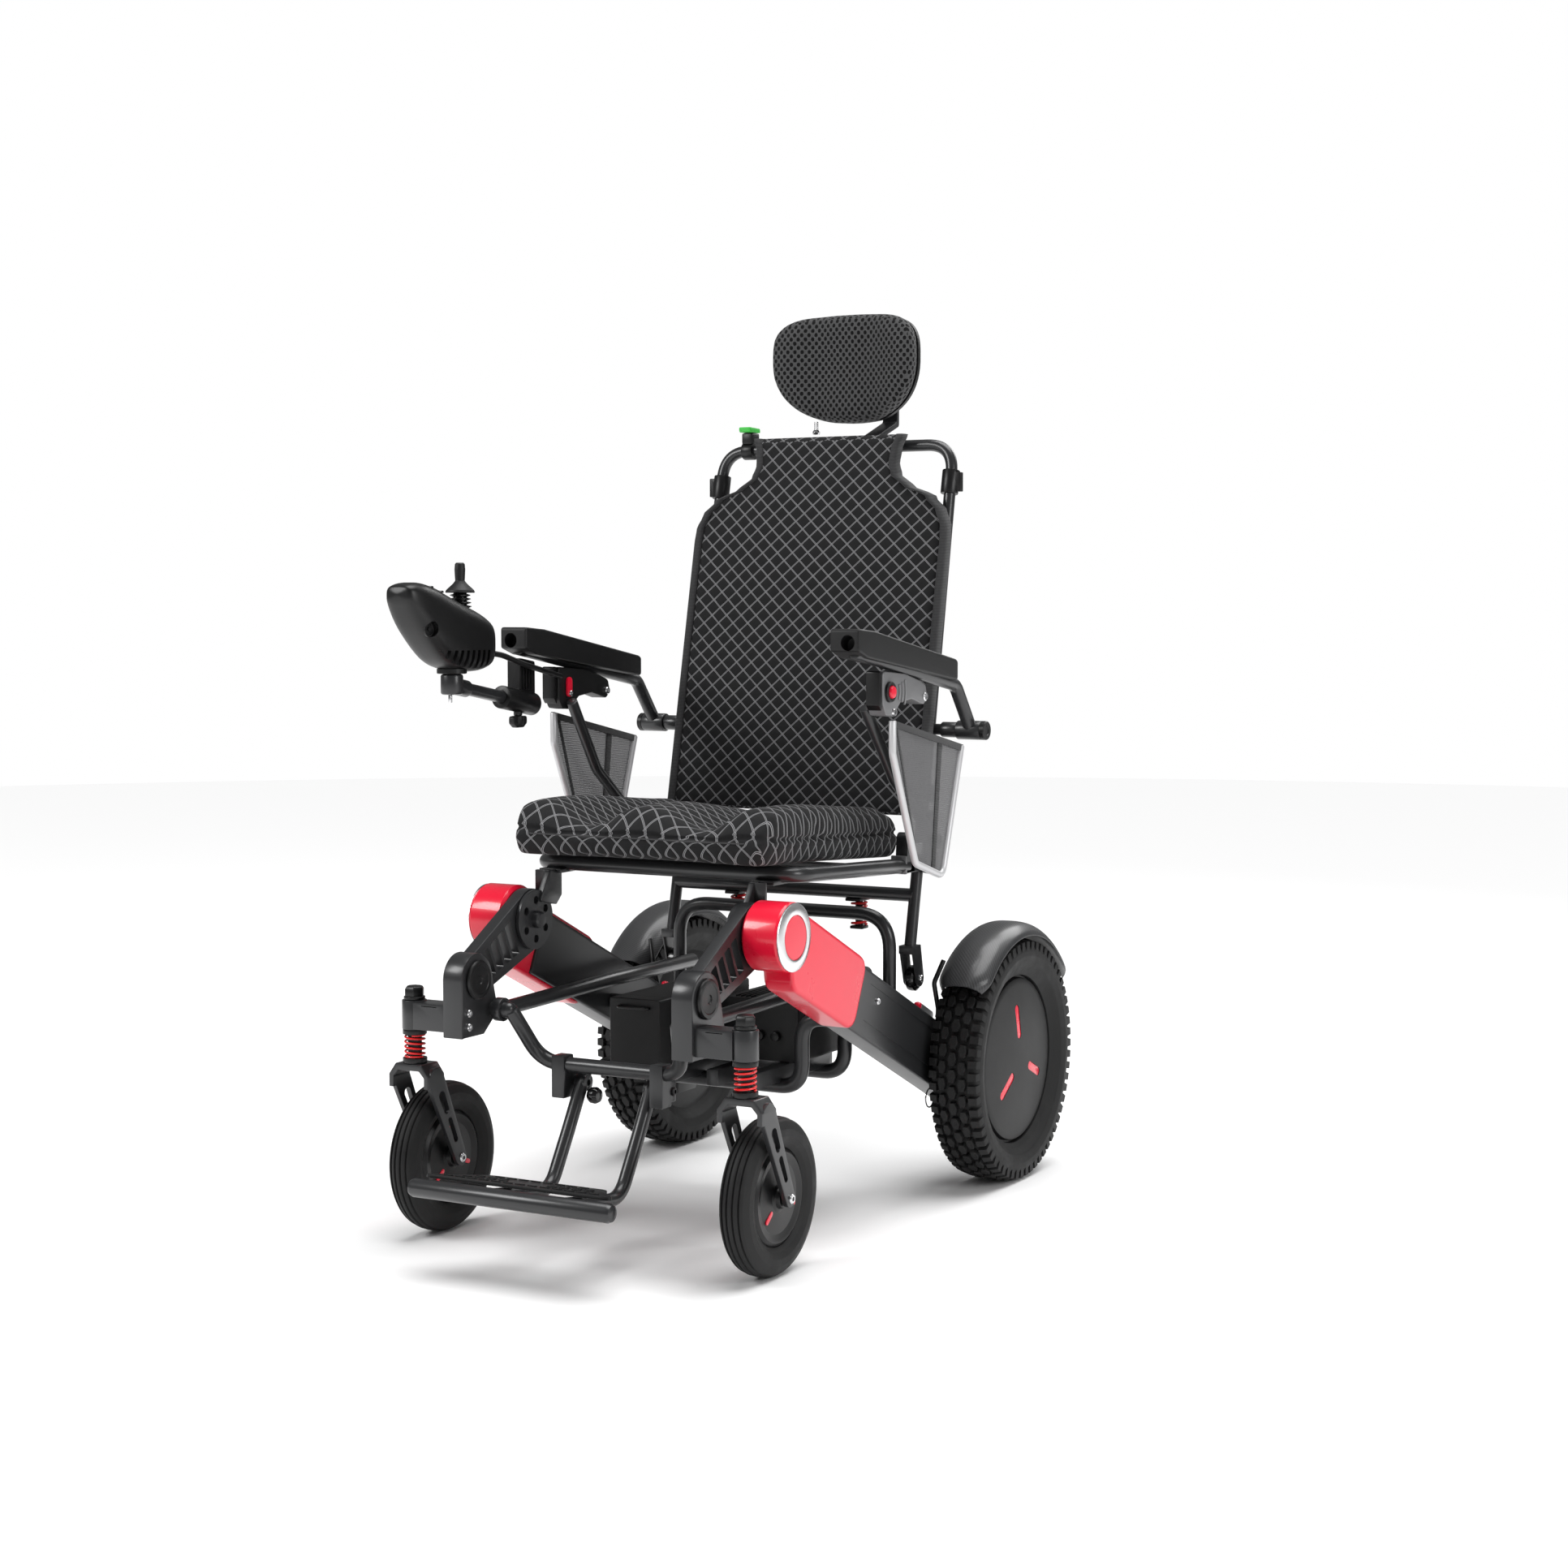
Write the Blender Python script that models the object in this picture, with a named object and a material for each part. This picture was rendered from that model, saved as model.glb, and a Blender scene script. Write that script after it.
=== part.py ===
"""Folding power wheelchair with inverted-V chassis, sprung casters and hub-motor wheels.

Metres, +Z up.  The chair faces -Y and its left side is +X.  Shapes are written in the
chair's own frame, whose Y is 0 at the caster stems and whose Z is 0 on the ground; the
root empty then slides everything back so that the origin is the centre of the footprint.
"""

import math

import bmesh
import bpy
from mathutils import Matrix, Vector

# Clearance between pieces that touch in the real chair.
GAP = 0.0004

# Wheels
DRIVE_AXLE = (0.706, 0.176)
DRIVE_RADIUS = 0.176
DRIVE_WIDTH = 0.076
DRIVE_X = 0.276
DRIVE_RIM = 0.128
CASTER_X = 0.249
CASTER_RADIUS = 0.100
CASTER_WIDTH = 0.041
CASTER_TRAIL = 0.0585
CASTER_RIM = 0.062

# Chassis
HINGE = (0.147, 0.412)
HINGE_RADIUS = 0.045
BEAM_START = (0.147, 0.399)
BEAM_PITCH = math.atan2(0.257, 0.553)
BEAM_LENGTH = 0.640
BEAM_HALF_HEIGHT = 0.045
BEAM_X = (0.1900, 0.2285)
KNEE = (0.012, 0.348)
LINK_PIN = (0.044, 0.306)
ARM_X = (0.1630, 0.1810)
LINK_X = 0.143
LINK_END_Y = 0.532
U_FRAME_Y = 0.545
CRADLE_YS = (0.385, 0.512)

# Seat and back
SEAT_FRONT = (0.214, 0.483)
SEAT_REAR = (0.530, 0.467)
SEAT_X = 0.200
RECLINE = (0.588, 0.470)
BACK_SLOPE = 0.2102
BACK_BASE = (0.564, 0.3565)
BACK_TUBE_X = 0.1966
BACK_TOP_Z = 1.0635
BACK_TOP_X = 0.191
BACK_HALF_WIDTH = 0.209
HEADREST_TILT = (0.812, 1.170)
TROLLEY = (0.574, 0.3035)

# Armrests
ARM_PIVOT = (0.622, 0.655)
ARM_TUBE_X = 0.262
POST_X = 0.243
POST_PIN = (0.548, 0.503)
BUTTON = (0.351, 0.717)

# Footrest
CROSSBAR_CORNER = (0.107, 0.0856, 0.2336)
FOOT_PIVOT = (0.1010, 0.2090)
FOOT_TUBE = (-0.1430, 0.1080)
FOOT_TUBE_RADIUS = 0.0120
FOOTPLATE_FRONT = (-0.1335, 0.1230)
FOOTPLATE_TILT = math.radians(8.6)

# Controller
CONTROL_X = -0.256
STICK_BASE = (0.118, 0.822)
CONTROL_POST_Y = 0.098

# The footprint runs from the front of the foot tube to the back of the drive tyres.
FOOTPRINT_FRONT = FOOT_TUBE[0] - FOOT_TUBE_RADIUS
FOOTPRINT_BACK = DRIVE_AXLE[0] + DRIVE_RADIUS
SHIFT_Y = -(FOOTPRINT_FRONT + FOOTPRINT_BACK) / 2


def back_y(z, ahead=0.0):
    """Y of the back tubes' centre line at height z, moved ahead of it by a distance."""
    return BACK_BASE[0] + (z - BACK_BASE[1]) * BACK_SLOPE - ahead


# ---------------------------------------------------------------- scene and materials


def clear_scene():
    for old in list(bpy.data.objects):
        bpy.data.objects.remove(old)


def material(name, colour, roughness, metallic=0.0):
    made = bpy.data.materials.new(name)
    made.use_nodes = True
    shader = made.node_tree.nodes["Principled BSDF"]
    shader.inputs["Base Color"].default_value = (*colour, 1.0)
    shader.inputs["Roughness"].default_value = roughness
    shader.inputs["Metallic"].default_value = metallic
    return made


# ---------------------------------------------------------------- outlines and paths


def arc(centre, radius, start, end, steps):
    """Points on a circle between two angles in degrees, both ends included."""
    points = []
    for i in range(steps + 1):
        a = math.radians(start + (end - start) * i / steps)
        points.append((centre[0] + radius * math.cos(a), centre[1] + radius * math.sin(a)))
    return points


def filleted(points, radius, steps=4, closed=False):
    """A polyline, or a closed outline, with its corners rounded to a radius."""
    vectors = [Vector(p) for p in points]
    count = len(vectors)
    result = []
    for i, corner in enumerate(vectors):
        if not closed and i in (0, count - 1):
            result.append(corner.copy())
            continue
        to_last = vectors[i - 1] - corner
        to_next = vectors[(i + 1) % count] - corner
        half = to_last.angle(to_next) / 2
        reach = radius / math.tan(half) if half > 1e-4 else 0.0
        reach = min(reach, 0.49 * to_last.length, 0.49 * to_next.length)
        first = corner + to_last.normalized() * reach
        last = corner + to_next.normalized() * reach
        for k in range(steps + 1):
            t = k / steps
            result.append(first * (1 - t) ** 2 + corner * 2 * t * (1 - t) + last * t * t)
    return result


def hull(points):
    """Convex outline round 2-D points, counter-clockwise."""
    ordered = sorted({(round(p[0], 6), round(p[1], 6)) for p in points})

    def half(sequence):
        chain = []
        for p in sequence:
            while len(chain) > 1 and (
                (chain[-1][0] - chain[-2][0]) * (p[1] - chain[-2][1])
                - (chain[-1][1] - chain[-2][1]) * (p[0] - chain[-2][0])
            ) <= 0:
                chain.pop()
            chain.append(p)
        return chain[:-1]

    return half(ordered) + half(reversed(ordered))


def link_outline(first, first_radius, second, second_radius, steps=12):
    """Outline of a bar with a round eye at each end."""
    circles = arc(first, first_radius, 0, 360, steps)[:-1]
    circles += arc(second, second_radius, 0, 360, steps)[:-1]
    return hull(circles)


# ---------------------------------------------------------------- solids


def shape_from(bm):
    """A working object from a bmesh, with its faces turned outwards."""
    bmesh.ops.recalc_face_normals(bm, faces=bm.faces)
    mesh = bpy.data.meshes.new("shape")
    bm.to_mesh(mesh)
    bm.free()
    made = bpy.data.objects.new("shape", mesh)
    bpy.context.collection.objects.link(made)
    return made


def rings_to_shape(rings, closed_path=False):
    """Skin a row of equal rings; an open row gets a cap at each end."""
    bm = bmesh.new()
    rows = [[bm.verts.new(p) for p in ring] for ring in rings]
    sides = len(rows[0])
    pairs = list(zip(rows, rows[1:]))
    if closed_path:
        pairs.append((rows[-1], rows[0]))
    else:
        bm.faces.new(rows[0])
        bm.faces.new(rows[-1])
    for one, two in pairs:
        for i in range(sides):
            j = (i + 1) % sides
            bm.faces.new((one[i], one[j], two[j], two[i]))
    return shape_from(bm)


def tube(points, radius, bend=0.0, sides=12, steps=4):
    """A round bar along a path; radius may be a number or one value for each point."""
    path = filleted(points, bend, steps) if bend else [Vector(p) for p in points]
    radii = radius if isinstance(radius, (list, tuple)) else [radius] * len(path)
    tangents = []
    for i in range(len(path)):
        before = path[max(i - 1, 0)]
        after = path[min(i + 1, len(path) - 1)]
        tangents.append((after - before).normalized())
    seed = Vector((0, 0, 1)) if abs(tangents[0].z) < 0.9 else Vector((0, 1, 0))
    normal = tangents[0].cross(seed).normalized()
    rings = []
    for i, (centre, along) in enumerate(zip(path, tangents)):
        if i:
            normal = (normal - along * normal.dot(along)).normalized()
        side = along.cross(normal)
        ring = []
        for k in range(sides):
            a = 2 * math.pi * (k + 0.5) / sides
            ring.append(centre + radii[i] * (math.cos(a) * normal + math.sin(a) * side))
        rings.append(ring)
    return rings_to_shape(rings)


def bar(start, end, radius, sides=12):
    return tube([start, end], radius, sides=sides)


def plate(outline, low, high, axis="X"):
    """An outline swept from low to high along an axis.

    The outline is (y, z) for axis X, (x, z) for axis Y and (x, y) for axis Z.
    """
    place = {
        "X": lambda a, b, c: (c, a, b),
        "Y": lambda a, b, c: (a, c, b),
        "Z": lambda a, b, c: (a, b, c),
    }[axis]
    return rings_to_shape([[place(p[0], p[1], level) for p in outline] for level in (low, high)])


def block(low, high):
    outline = [(low[0], low[1]), (high[0], low[1]), (high[0], high[1]), (low[0], high[1])]
    return plate(outline, low[2], high[2], "Z")


def turned(profile, centre, axis="X", steps=24, side=1):
    """A solid of revolution round an axis through centre.

    The profile is a list of (radius, offset along the axis); a radius of 0 makes a pole,
    and a profile that has none closes on itself as a ring.
    """
    bm = bmesh.new()
    hollow = all(r > 0 for r, _ in profile)
    rows = []
    for radius, offset in profile:
        row = []
        for k in range(steps if radius > 0 else 1):
            a = 2 * math.pi * k / steps
            u, v = radius * math.cos(a), radius * math.sin(a)
            local = {"X": (side * offset, u, v), "Z": (u, v, offset), "Y": (u, offset, v)}[axis]
            row.append(bm.verts.new(Vector(centre) + Vector(local)))
        rows.append(row)
    pairs = list(zip(rows, rows[1:]))
    if hollow:
        pairs.append((rows[-1], rows[0]))
    for one, two in pairs:
        for k in range(steps):
            j = (k + 1) % steps
            ring = [one[k % len(one)], one[j % len(one)], two[j % len(two)], two[k % len(two)]]
            bm.faces.new(list(dict.fromkeys(ring)))
    return shape_from(bm)


def combined(operation, first, others):
    """Boolean of the first shape with each of the others, as a new working object."""
    for other in others:
        modifier = first.modifiers.new("join", "BOOLEAN")
        modifier.operation = operation
        modifier.solver = "EXACT"
        modifier.object = other
    bpy.context.view_layer.update()
    graph = bpy.context.evaluated_depsgraph_get()
    mesh = bpy.data.meshes.new_from_object(first.evaluated_get(graph))
    for used in (first, *others):
        bpy.data.objects.remove(used)
    made = bpy.data.objects.new("shape", mesh)
    bpy.context.collection.objects.link(made)
    return made


def union(first, *others):
    return combined("UNION", first, others)


def cut(first, *others):
    return combined("DIFFERENCE", first, others)


def node(name, shape, look, pivot=(0, 0, 0)):
    """Name a finished shape, give it its material and put its origin on its pivot."""
    mesh = shape.data
    mesh.transform(Matrix.Translation(-Vector(pivot)))
    mesh.materials.clear()
    mesh.materials.append(look)
    mesh.shade_smooth()
    mesh.set_sharp_from_angle(angle=math.radians(35))
    mesh.name = name
    shape.name = name
    shape.parent = ROOT
    shape.location = pivot
    return shape


# ---------------------------------------------------------------- chassis


def beam_point(along, up):
    """(y, z) of a point given by its distance down the beam and its height across it."""
    c, s = math.cos(BEAM_PITCH), math.sin(BEAM_PITCH)
    return (BEAM_START[0] + along * c + up * s, BEAM_START[1] - along * s + up * c)


def beam_outline(start, end, half, grow=0.0):
    corners = [
        beam_point(start, -half - grow),
        beam_point(end, -half - grow),
        beam_point(end, half + grow),
        beam_point(start, half + grow),
    ]
    return corners


def chassis_side(name, side):
    """Beam, red hinge cover, fender and clutch lever of one side."""
    beam_start = 0.060
    inner, outer = BEAM_X
    outline = beam_outline(beam_start, BEAM_LENGTH, BEAM_HALF_HEIGHT)
    outline = [outline[0]] + filleted(outline, 0.030, 4, True)[5:15] + [outline[3]]
    node(f"{name}_rear_beam", plate(outline, side * inner, side * outer), FRAME)

    # The cover is a hub that closes the hinge and a shell round the beam's outer face.
    hub = turned(
        [(0, 0.1830), (0.041, 0.1830), (HINGE_RADIUS, 0.187), (HINGE_RADIUS, 0.2345), (0.040, 0.2395), (0, 0.2395)],
        (0, *HINGE),
        steps=32,
        side=side,
    )
    shell_outline = [
        (HINGE[0] - 0.018, HINGE[1] + 0.036),
        beam_point(0.000, 0.050),
        beam_point(0.205, 0.050),
        beam_point(0.205, -0.050),
        beam_point(0.020, -0.050),
    ]
    shell = plate(filleted(shell_outline, 0.024, 4, True), side * 0.1935, side * 0.2395)
    shell = union(hub, shell)
    pocket_outline = beam_outline(beam_start - GAP, 0.240, BEAM_HALF_HEIGHT, GAP)
    pocket = plate(pocket_outline, side * 0.170, side * (outer + GAP))
    node(f"{name}_hinge_cover", cut(shell, pocket), RED)

    # The fender is a bent strip over the tyre, held by a stay along the beam.
    radius = DRIVE_RADIUS + 0.017
    strip = []
    for angle in range(36, 145, 9):
        a = math.radians(angle)
        ring = []
        for across, lift in ((0.2350, -0.012), (0.2420, 0.0), (0.3100, 0.0), (0.3165, -0.012)):
            ring.append((across, radius + lift))
        section = ring + [(x, r + 0.0035) for x, r in reversed(ring)]
        strip.append(
            [
                (side * x, DRIVE_AXLE[0] + r * math.cos(a), DRIVE_AXLE[1] + r * math.sin(a))
                for x, r in section
            ]
        )
    node(f"{name}_fender", rings_to_shape(strip), CARBON)

    lever_pivot = (side * 0.2090, 0.6000, 0.2470)
    lever = plate(
        link_outline((0.600, 0.247), 0.007, (0.562, 0.2672), 0.0045, 10), side * 0.2050, side * 0.2130
    )
    node(f"{name}_clutch_lever", lever, SILVER, lever_pivot)


def drive_wheel(name, side):
    """Hub motor with its rim, and the pneumatic tyre on it."""
    centre = (side * DRIVE_X, *DRIVE_AXLE)
    half = DRIVE_WIDTH / 2
    tyre = [
        (DRIVE_RIM, -0.024),
        (DRIVE_RIM + 0.020, -half + 0.004),
        (DRIVE_RADIUS - 0.014, -half + 0.002),
        (DRIVE_RADIUS - 0.003, -half + 0.014),
        (DRIVE_RADIUS, 0.0),
        (DRIVE_RADIUS - 0.003, half - 0.014),
        (DRIVE_RADIUS - 0.014, half - 0.002),
        (DRIVE_RIM + 0.020, half - 0.004),
        (DRIVE_RIM, 0.024),
    ]
    node(f"{name}_drive_tyre", turned(tyre, centre, steps=40, side=side), TYRE, centre)
    rim = DRIVE_RIM - GAP
    motor = [
        (0, 0.030),
        (0.060, 0.029),
        (0.112, 0.024),
        (rim, 0.022),
        (rim, -0.022),
        (0.110, -0.026),
        (0.055, -0.030),
        (0.030, -0.037),
        (0.012, -0.040),
        (0.012, -0.0465),
        (0, -0.0465),
    ]
    node(f"{name}_hub_motor", turned(motor, centre, steps=40, side=side), BLACK, centre)


def chassis_frames():
    """Inverted-U frame behind the seat, battery cradle, battery and power module."""
    top, x, y = 0.395, 0.173, U_FRAME_Y
    path = [(-x, y, 0.205), (-x, y, top), (x, y, top), (x, y, 0.205)]
    frame = tube(path, 0.0095, 0.050)
    feet = [
        block((-0.1893, y - 0.016, 0.196), (-0.1650, y + 0.016, 0.236)),
        block((0.1650, y - 0.016, 0.196), (0.1893, y + 0.016, 0.236)),
    ]
    node("u_frame", union(frame, *feet), FRAME)

    loops = []
    for y, top in zip(CRADLE_YS, (0.268, 0.248)):
        loops.append(
            tube(
                [
                    (-0.1893, y, top),
                    (-0.119, y, top),
                    (-0.119, y, 0.170),
                    (0.119, y, 0.170),
                    (0.119, y, top),
                    (0.1893, y, top),
                ],
                0.0105,
                0.034,
            )
        )
    low, high = CRADLE_YS[0] - 0.075, CRADLE_YS[1] + 0.020
    rails = [block((x - 0.009, low, 0.176), (x + 0.009, high, 0.1985)) for x in (-0.090, -0.045, 0.020, 0.080)]
    node("battery_cradle", union(loops[0], loops[1], *rails), FRAME)

    battery = filleted([(-0.107, 0.1990), (-0.027, 0.1990), (-0.027, 0.2980), (-0.107, 0.2980)], 0.005, 2, True)
    node("battery_box", plate(battery, 0.250, 0.496, "Y"), BLACK)
    module = filleted([(-0.020, 0.1990), (0.104, 0.1990), (0.104, 0.2850), (-0.020, 0.2850)], 0.005, 2, True)
    node("power_module", plate(module, 0.402, 0.530, "Y"), BLACK)


# ---------------------------------------------------------------- front arms and casters


def front_side(name, side):
    """Truss arm from the hinge to the knee, and the carrier of the caster housing."""
    outline = link_outline(HINGE, 0.041, KNEE, 0.028, 20)
    arm = plate(outline, side * ARM_X[0], side * ARM_X[1])
    along = (Vector(KNEE) - Vector(HINGE)).normalized()
    across = Vector((-along[1], along[0]))
    windows = []
    for near, far in ((0.046, 0.062), (0.067, 0.083), (0.088, 0.104), (0.109, 0.119)):
        corners = []
        for reach, sign in ((near, 1), (far, 1), (far, -1), (near, -1)):
            half = 0.027 - 0.085 * reach
            point = Vector(HINGE) + along * reach + across * half * sign
            corners.append(tuple(point))
        windows.append(plate(corners, side * 0.150, side * 0.190))
    node(f"{name}_truss_arm", cut(arm, *windows), FRAME, (side * ARM_X[0], *HINGE))

    # Clevis: a web in front of the arm's end, a cheek each side of it, and the two pins.
    cheek = hull(
        arc(KNEE, 0.0262, 0, 360, 16)
        + arc(LINK_PIN, 0.0125, 0, 360, 12)
        + [(-0.022, 0.366), (-0.022, 0.275), (0.026, 0.275)]
    )
    web = hull([(-0.022, 0.368), (-0.016, 0.378), (-0.0185, 0.378), (-0.022, 0.275), (-0.0172, 0.275), (-0.0172, 0.374)])
    pieces = [plate(cheek, side * 0.1550, side * 0.1626), plate(cheek, side * 0.1814, side * 0.1900)]
    pieces.append(plate(web, side * 0.1560, side * 0.1890))
    lower = [(-0.022, 0.275), (0.026, 0.275), (0.032, 0.284), (0.032, 0.306), (-0.022, 0.306)]
    pieces.append(plate(lower, side * 0.1560, side * 0.1890))
    pieces.append(turned([(0, 0.1890), (0.0255, 0.1890), (0.0255, 0.193), (0.0235, 0.195), (0, 0.195)], (0, *KNEE), steps=24, side=side))
    pieces.append(turned([(0, 0.1560), (0.0255, 0.1560), (0.0255, 0.152), (0.0235, 0.150), (0, 0.150)], (0, *KNEE), steps=24, side=side))
    pieces.append(block((min(side * 0.188, side * 0.2400), -0.0165, 0.2800), (max(side * 0.188, side * 0.2400), 0.0165, 0.3160)))
    pieces.append(bar((side * CASTER_X, 0, 0.2785), (side * CASTER_X, 0, 0.3175), 0.0165, 20))
    body = union(*pieces)
    bore = bar((side * CASTER_X, 0, 0.25), (side * CASTER_X, 0, 0.35), 0.0100, 16)
    node(f"{name}_caster_carrier", cut(body, bore), FRAME, (side * 0.172, *KNEE))

    # Lower link: eye round the crossbar's stub, tube back towards the U frame.
    x = LINK_X
    eye = bar((side * (x - 0.006), *LINK_PIN), (side * (x + 0.006), *LINK_PIN), 0.0155, 16)
    link = tube(
        [(side * x, LINK_PIN[0] + 0.005, LINK_PIN[1]), (side * x, 0.30, 0.3115), (side * x, LINK_END_Y, 0.3120)],
        0.0100,
        0.05,
        10,
    )
    pin = bar((side * (x - 0.016), *LINK_PIN), (side * (x + 0.016), *LINK_PIN), 0.0105 + GAP, 16)
    node(f"{name}_lower_link", cut(union(eye, link), pin), FRAME, (side * x, *LINK_PIN))


def crossbar():
    """Bent tube joining the two carriers, which holds the footrest."""
    cx, cy, cz = CROSSBAR_CORNER
    path = [(-0.1265, *LINK_PIN), (-cx, cy, cz), (cx, cy, cz), (0.1265, *LINK_PIN)]
    shape = tube(path, 0.0098, 0.040)
    stubs = []
    for side in (-1, 1):
        stubs.append(
            turned(
                [(0, 0.1546), (0.0105, 0.1546), (0.0105, 0.128), (0.0085, 0.1235), (0.004, 0.121), (0, 0.121)],
                (0, *LINK_PIN),
                steps=16,
                side=side,
            )
        )
    clamps = []
    for side in (-1, 1):
        low, high = sorted((side * 0.0650, side * 0.0850))
        clamps.append(block((low, 0.0740, 0.1900), (high, 0.0972, 0.2460)))
    pins = [bar((side * 0.0480, *FOOT_PIVOT), (side * 0.0670, *FOOT_PIVOT), 0.0040, 10) for side in (-1, 1)]
    lugs = []
    for side in (-1, 1):
        low, high = sorted((side * 0.0650, side * 0.0850))
        lugs.append(block((low, 0.0900, 0.1950), (high, 0.1080, 0.2230)))
    return node("footrest_crossbar", union(shape, *stubs, *clamps, *lugs, *pins), FRAME, (0, *LINK_PIN))


def caster(name, side):
    """Stem, spring, fork, tyre and wheel of one caster, at rest with the wheel trailing."""
    x, trail = side * CASTER_X, CASTER_TRAIL
    stem = turned(
        [
            (0, 0.2345),
            (0.0160, 0.2345),
            (0.0160, 0.2410),
            (0.0092, 0.2410),
            (0.0092, 0.3180),
            (0.0135, 0.3180),
            (0.0135, 0.3330),
            (0.0090, 0.3356),
            (0, 0.3356),
        ],
        (x, 0, 0),
        "Z",
        12,
    )
    node(f"{name}_caster_stem", stem, BLACK, (x, 0, 0.2345))

    # Red coil round the stem, drawn as one closed wavy sleeve from collar to collar.
    sleeve = []
    coils, low, high = 5, 0.2414, 0.2781
    for i in range(coils * 2 + 1):
        z = low + (high - low) * i / (coils * 2)
        sleeve.append((0.0142 if i % 2 else 0.0118, z))
    sleeve += [(0.0098, high), (0.0098, low)]
    node(f"{name}_caster_spring", turned(sleeve, (x, 0, 0), "Z", 12), RED, (x, 0, low))

    crown = hull([(-0.022, -0.018), (0.022, -0.018), (0.031, 0.004), (0.031, 0.022), (-0.031, 0.022), (-0.031, 0.004)])
    crown = plate([(x + px, py) for px, py in crown], 0.2250, 0.2341, "Z")
    legs = []
    for offset in (-1, 1):
        near, far = sorted((x + offset * 0.0245, x + offset * 0.0310))
        outline = link_outline((0.006, 0.2235), 0.0105, (trail, CASTER_RADIUS), 0.0115, 12)
        leg = plate(outline, near, far)
        slots = []
        for start, end in ((0.18, 0.42), (0.52, 0.76)):
            a = Vector((0.006, 0.2235)).lerp(Vector((trail, CASTER_RADIUS)), start)
            b = Vector((0.006, 0.2235)).lerp(Vector((trail, CASTER_RADIUS)), end)
            slots.append(plate(link_outline(a, 0.0042, b, 0.0042, 8), near - 0.005, far + 0.005))
        legs.append(cut(leg, *slots))
    axle = bar((x - 0.0345, trail, CASTER_RADIUS), (x + 0.0345, trail, CASTER_RADIUS), 0.0050, 10)
    node(f"{name}_caster_fork", union(crown, legs[0], legs[1], axle), FRAME, (x, 0, 0.2250))

    centre = (x, trail, CASTER_RADIUS)
    half = CASTER_WIDTH / 2
    tyre = [
        (CASTER_RIM, -0.013),
        (CASTER_RIM + 0.012, -half),
        (CASTER_RADIUS - 0.009, -half + 0.002),
        (CASTER_RADIUS - 0.001, -0.009),
        (CASTER_RADIUS, 0.0),
        (CASTER_RADIUS - 0.001, 0.009),
        (CASTER_RADIUS - 0.009, half - 0.002),
        (CASTER_RIM + 0.012, half),
        (CASTER_RIM, 0.013),
    ]
    node(f"{name}_caster_tyre", turned(tyre, centre, steps=32, side=side), TYRE, centre)
    rim, bore = CASTER_RIM - GAP, 0.0054
    hub = [(bore, 0.0215), (0.020, 0.0215), (0.024, 0.017), (0.054, 0.016), (rim, 0.012)]
    hub += [(r, -offset) for r, offset in reversed(hub)]
    node(f"{name}_caster_wheel", turned(hub, centre, steps=32, side=side), BLACK, centre)


# ---------------------------------------------------------------- footrest


def footrest():
    """Two bent legs and the front tube, with the tread plate on it."""
    y, z = FOOT_TUBE
    legs = []
    for side in (-1, 1):
        x = side * 0.0530
        path = [
            (x, FOOT_PIVOT[0] + 0.005, FOOT_PIVOT[1] + 0.013),
            (x, 0.0660, 0.1530),
            (x, 0.0220, 0.0810),
            (x, y, z - 0.002),
        ]
        legs.append(tube(path, 0.0090, 0.040, 12))
    front = turned(
        [(0, -0.150), (0.007, -0.150), (FOOT_TUBE_RADIUS, -0.144), (FOOT_TUBE_RADIUS, 0.144), (0.007, 0.150), (0, 0.150)],
        (0, y, z),
        steps=16,
    )
    eyes = [bar((s * 0.0445, *FOOT_PIVOT), (s * 0.0615, *FOOT_PIVOT), 0.0110, 12) for s in (-1, 1)]
    frame = union(front, *legs, *eyes)
    bores = [bar((s * 0.040, *FOOT_PIVOT), (s * 0.070, *FOOT_PIVOT), 0.0040 + GAP, 10) for s in (-1, 1)]
    node("footrest_frame", cut(frame, *bores), FRAME, (0, *FOOT_PIVOT))

    # The rear corners stay inside the circles that the casters sweep as they swivel.
    outline = [(-0.146, 0.0), (0.146, 0.0), (0.111, 0.036), (0.086, 0.076), (-0.086, 0.076), (-0.111, 0.036)]
    tread = plate(filleted(outline, 0.020, 3, True), -0.0030, 0.0030, "Z")
    tread.data.transform(Matrix.Rotation(-FOOTPLATE_TILT, 4, "X"))
    tread.data.transform(Matrix.Translation((0, FOOTPLATE_FRONT[0], FOOTPLATE_FRONT[1])))
    node("footplate", tread, BLACK, (0, *FOOT_PIVOT))


# ---------------------------------------------------------------- seat


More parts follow.
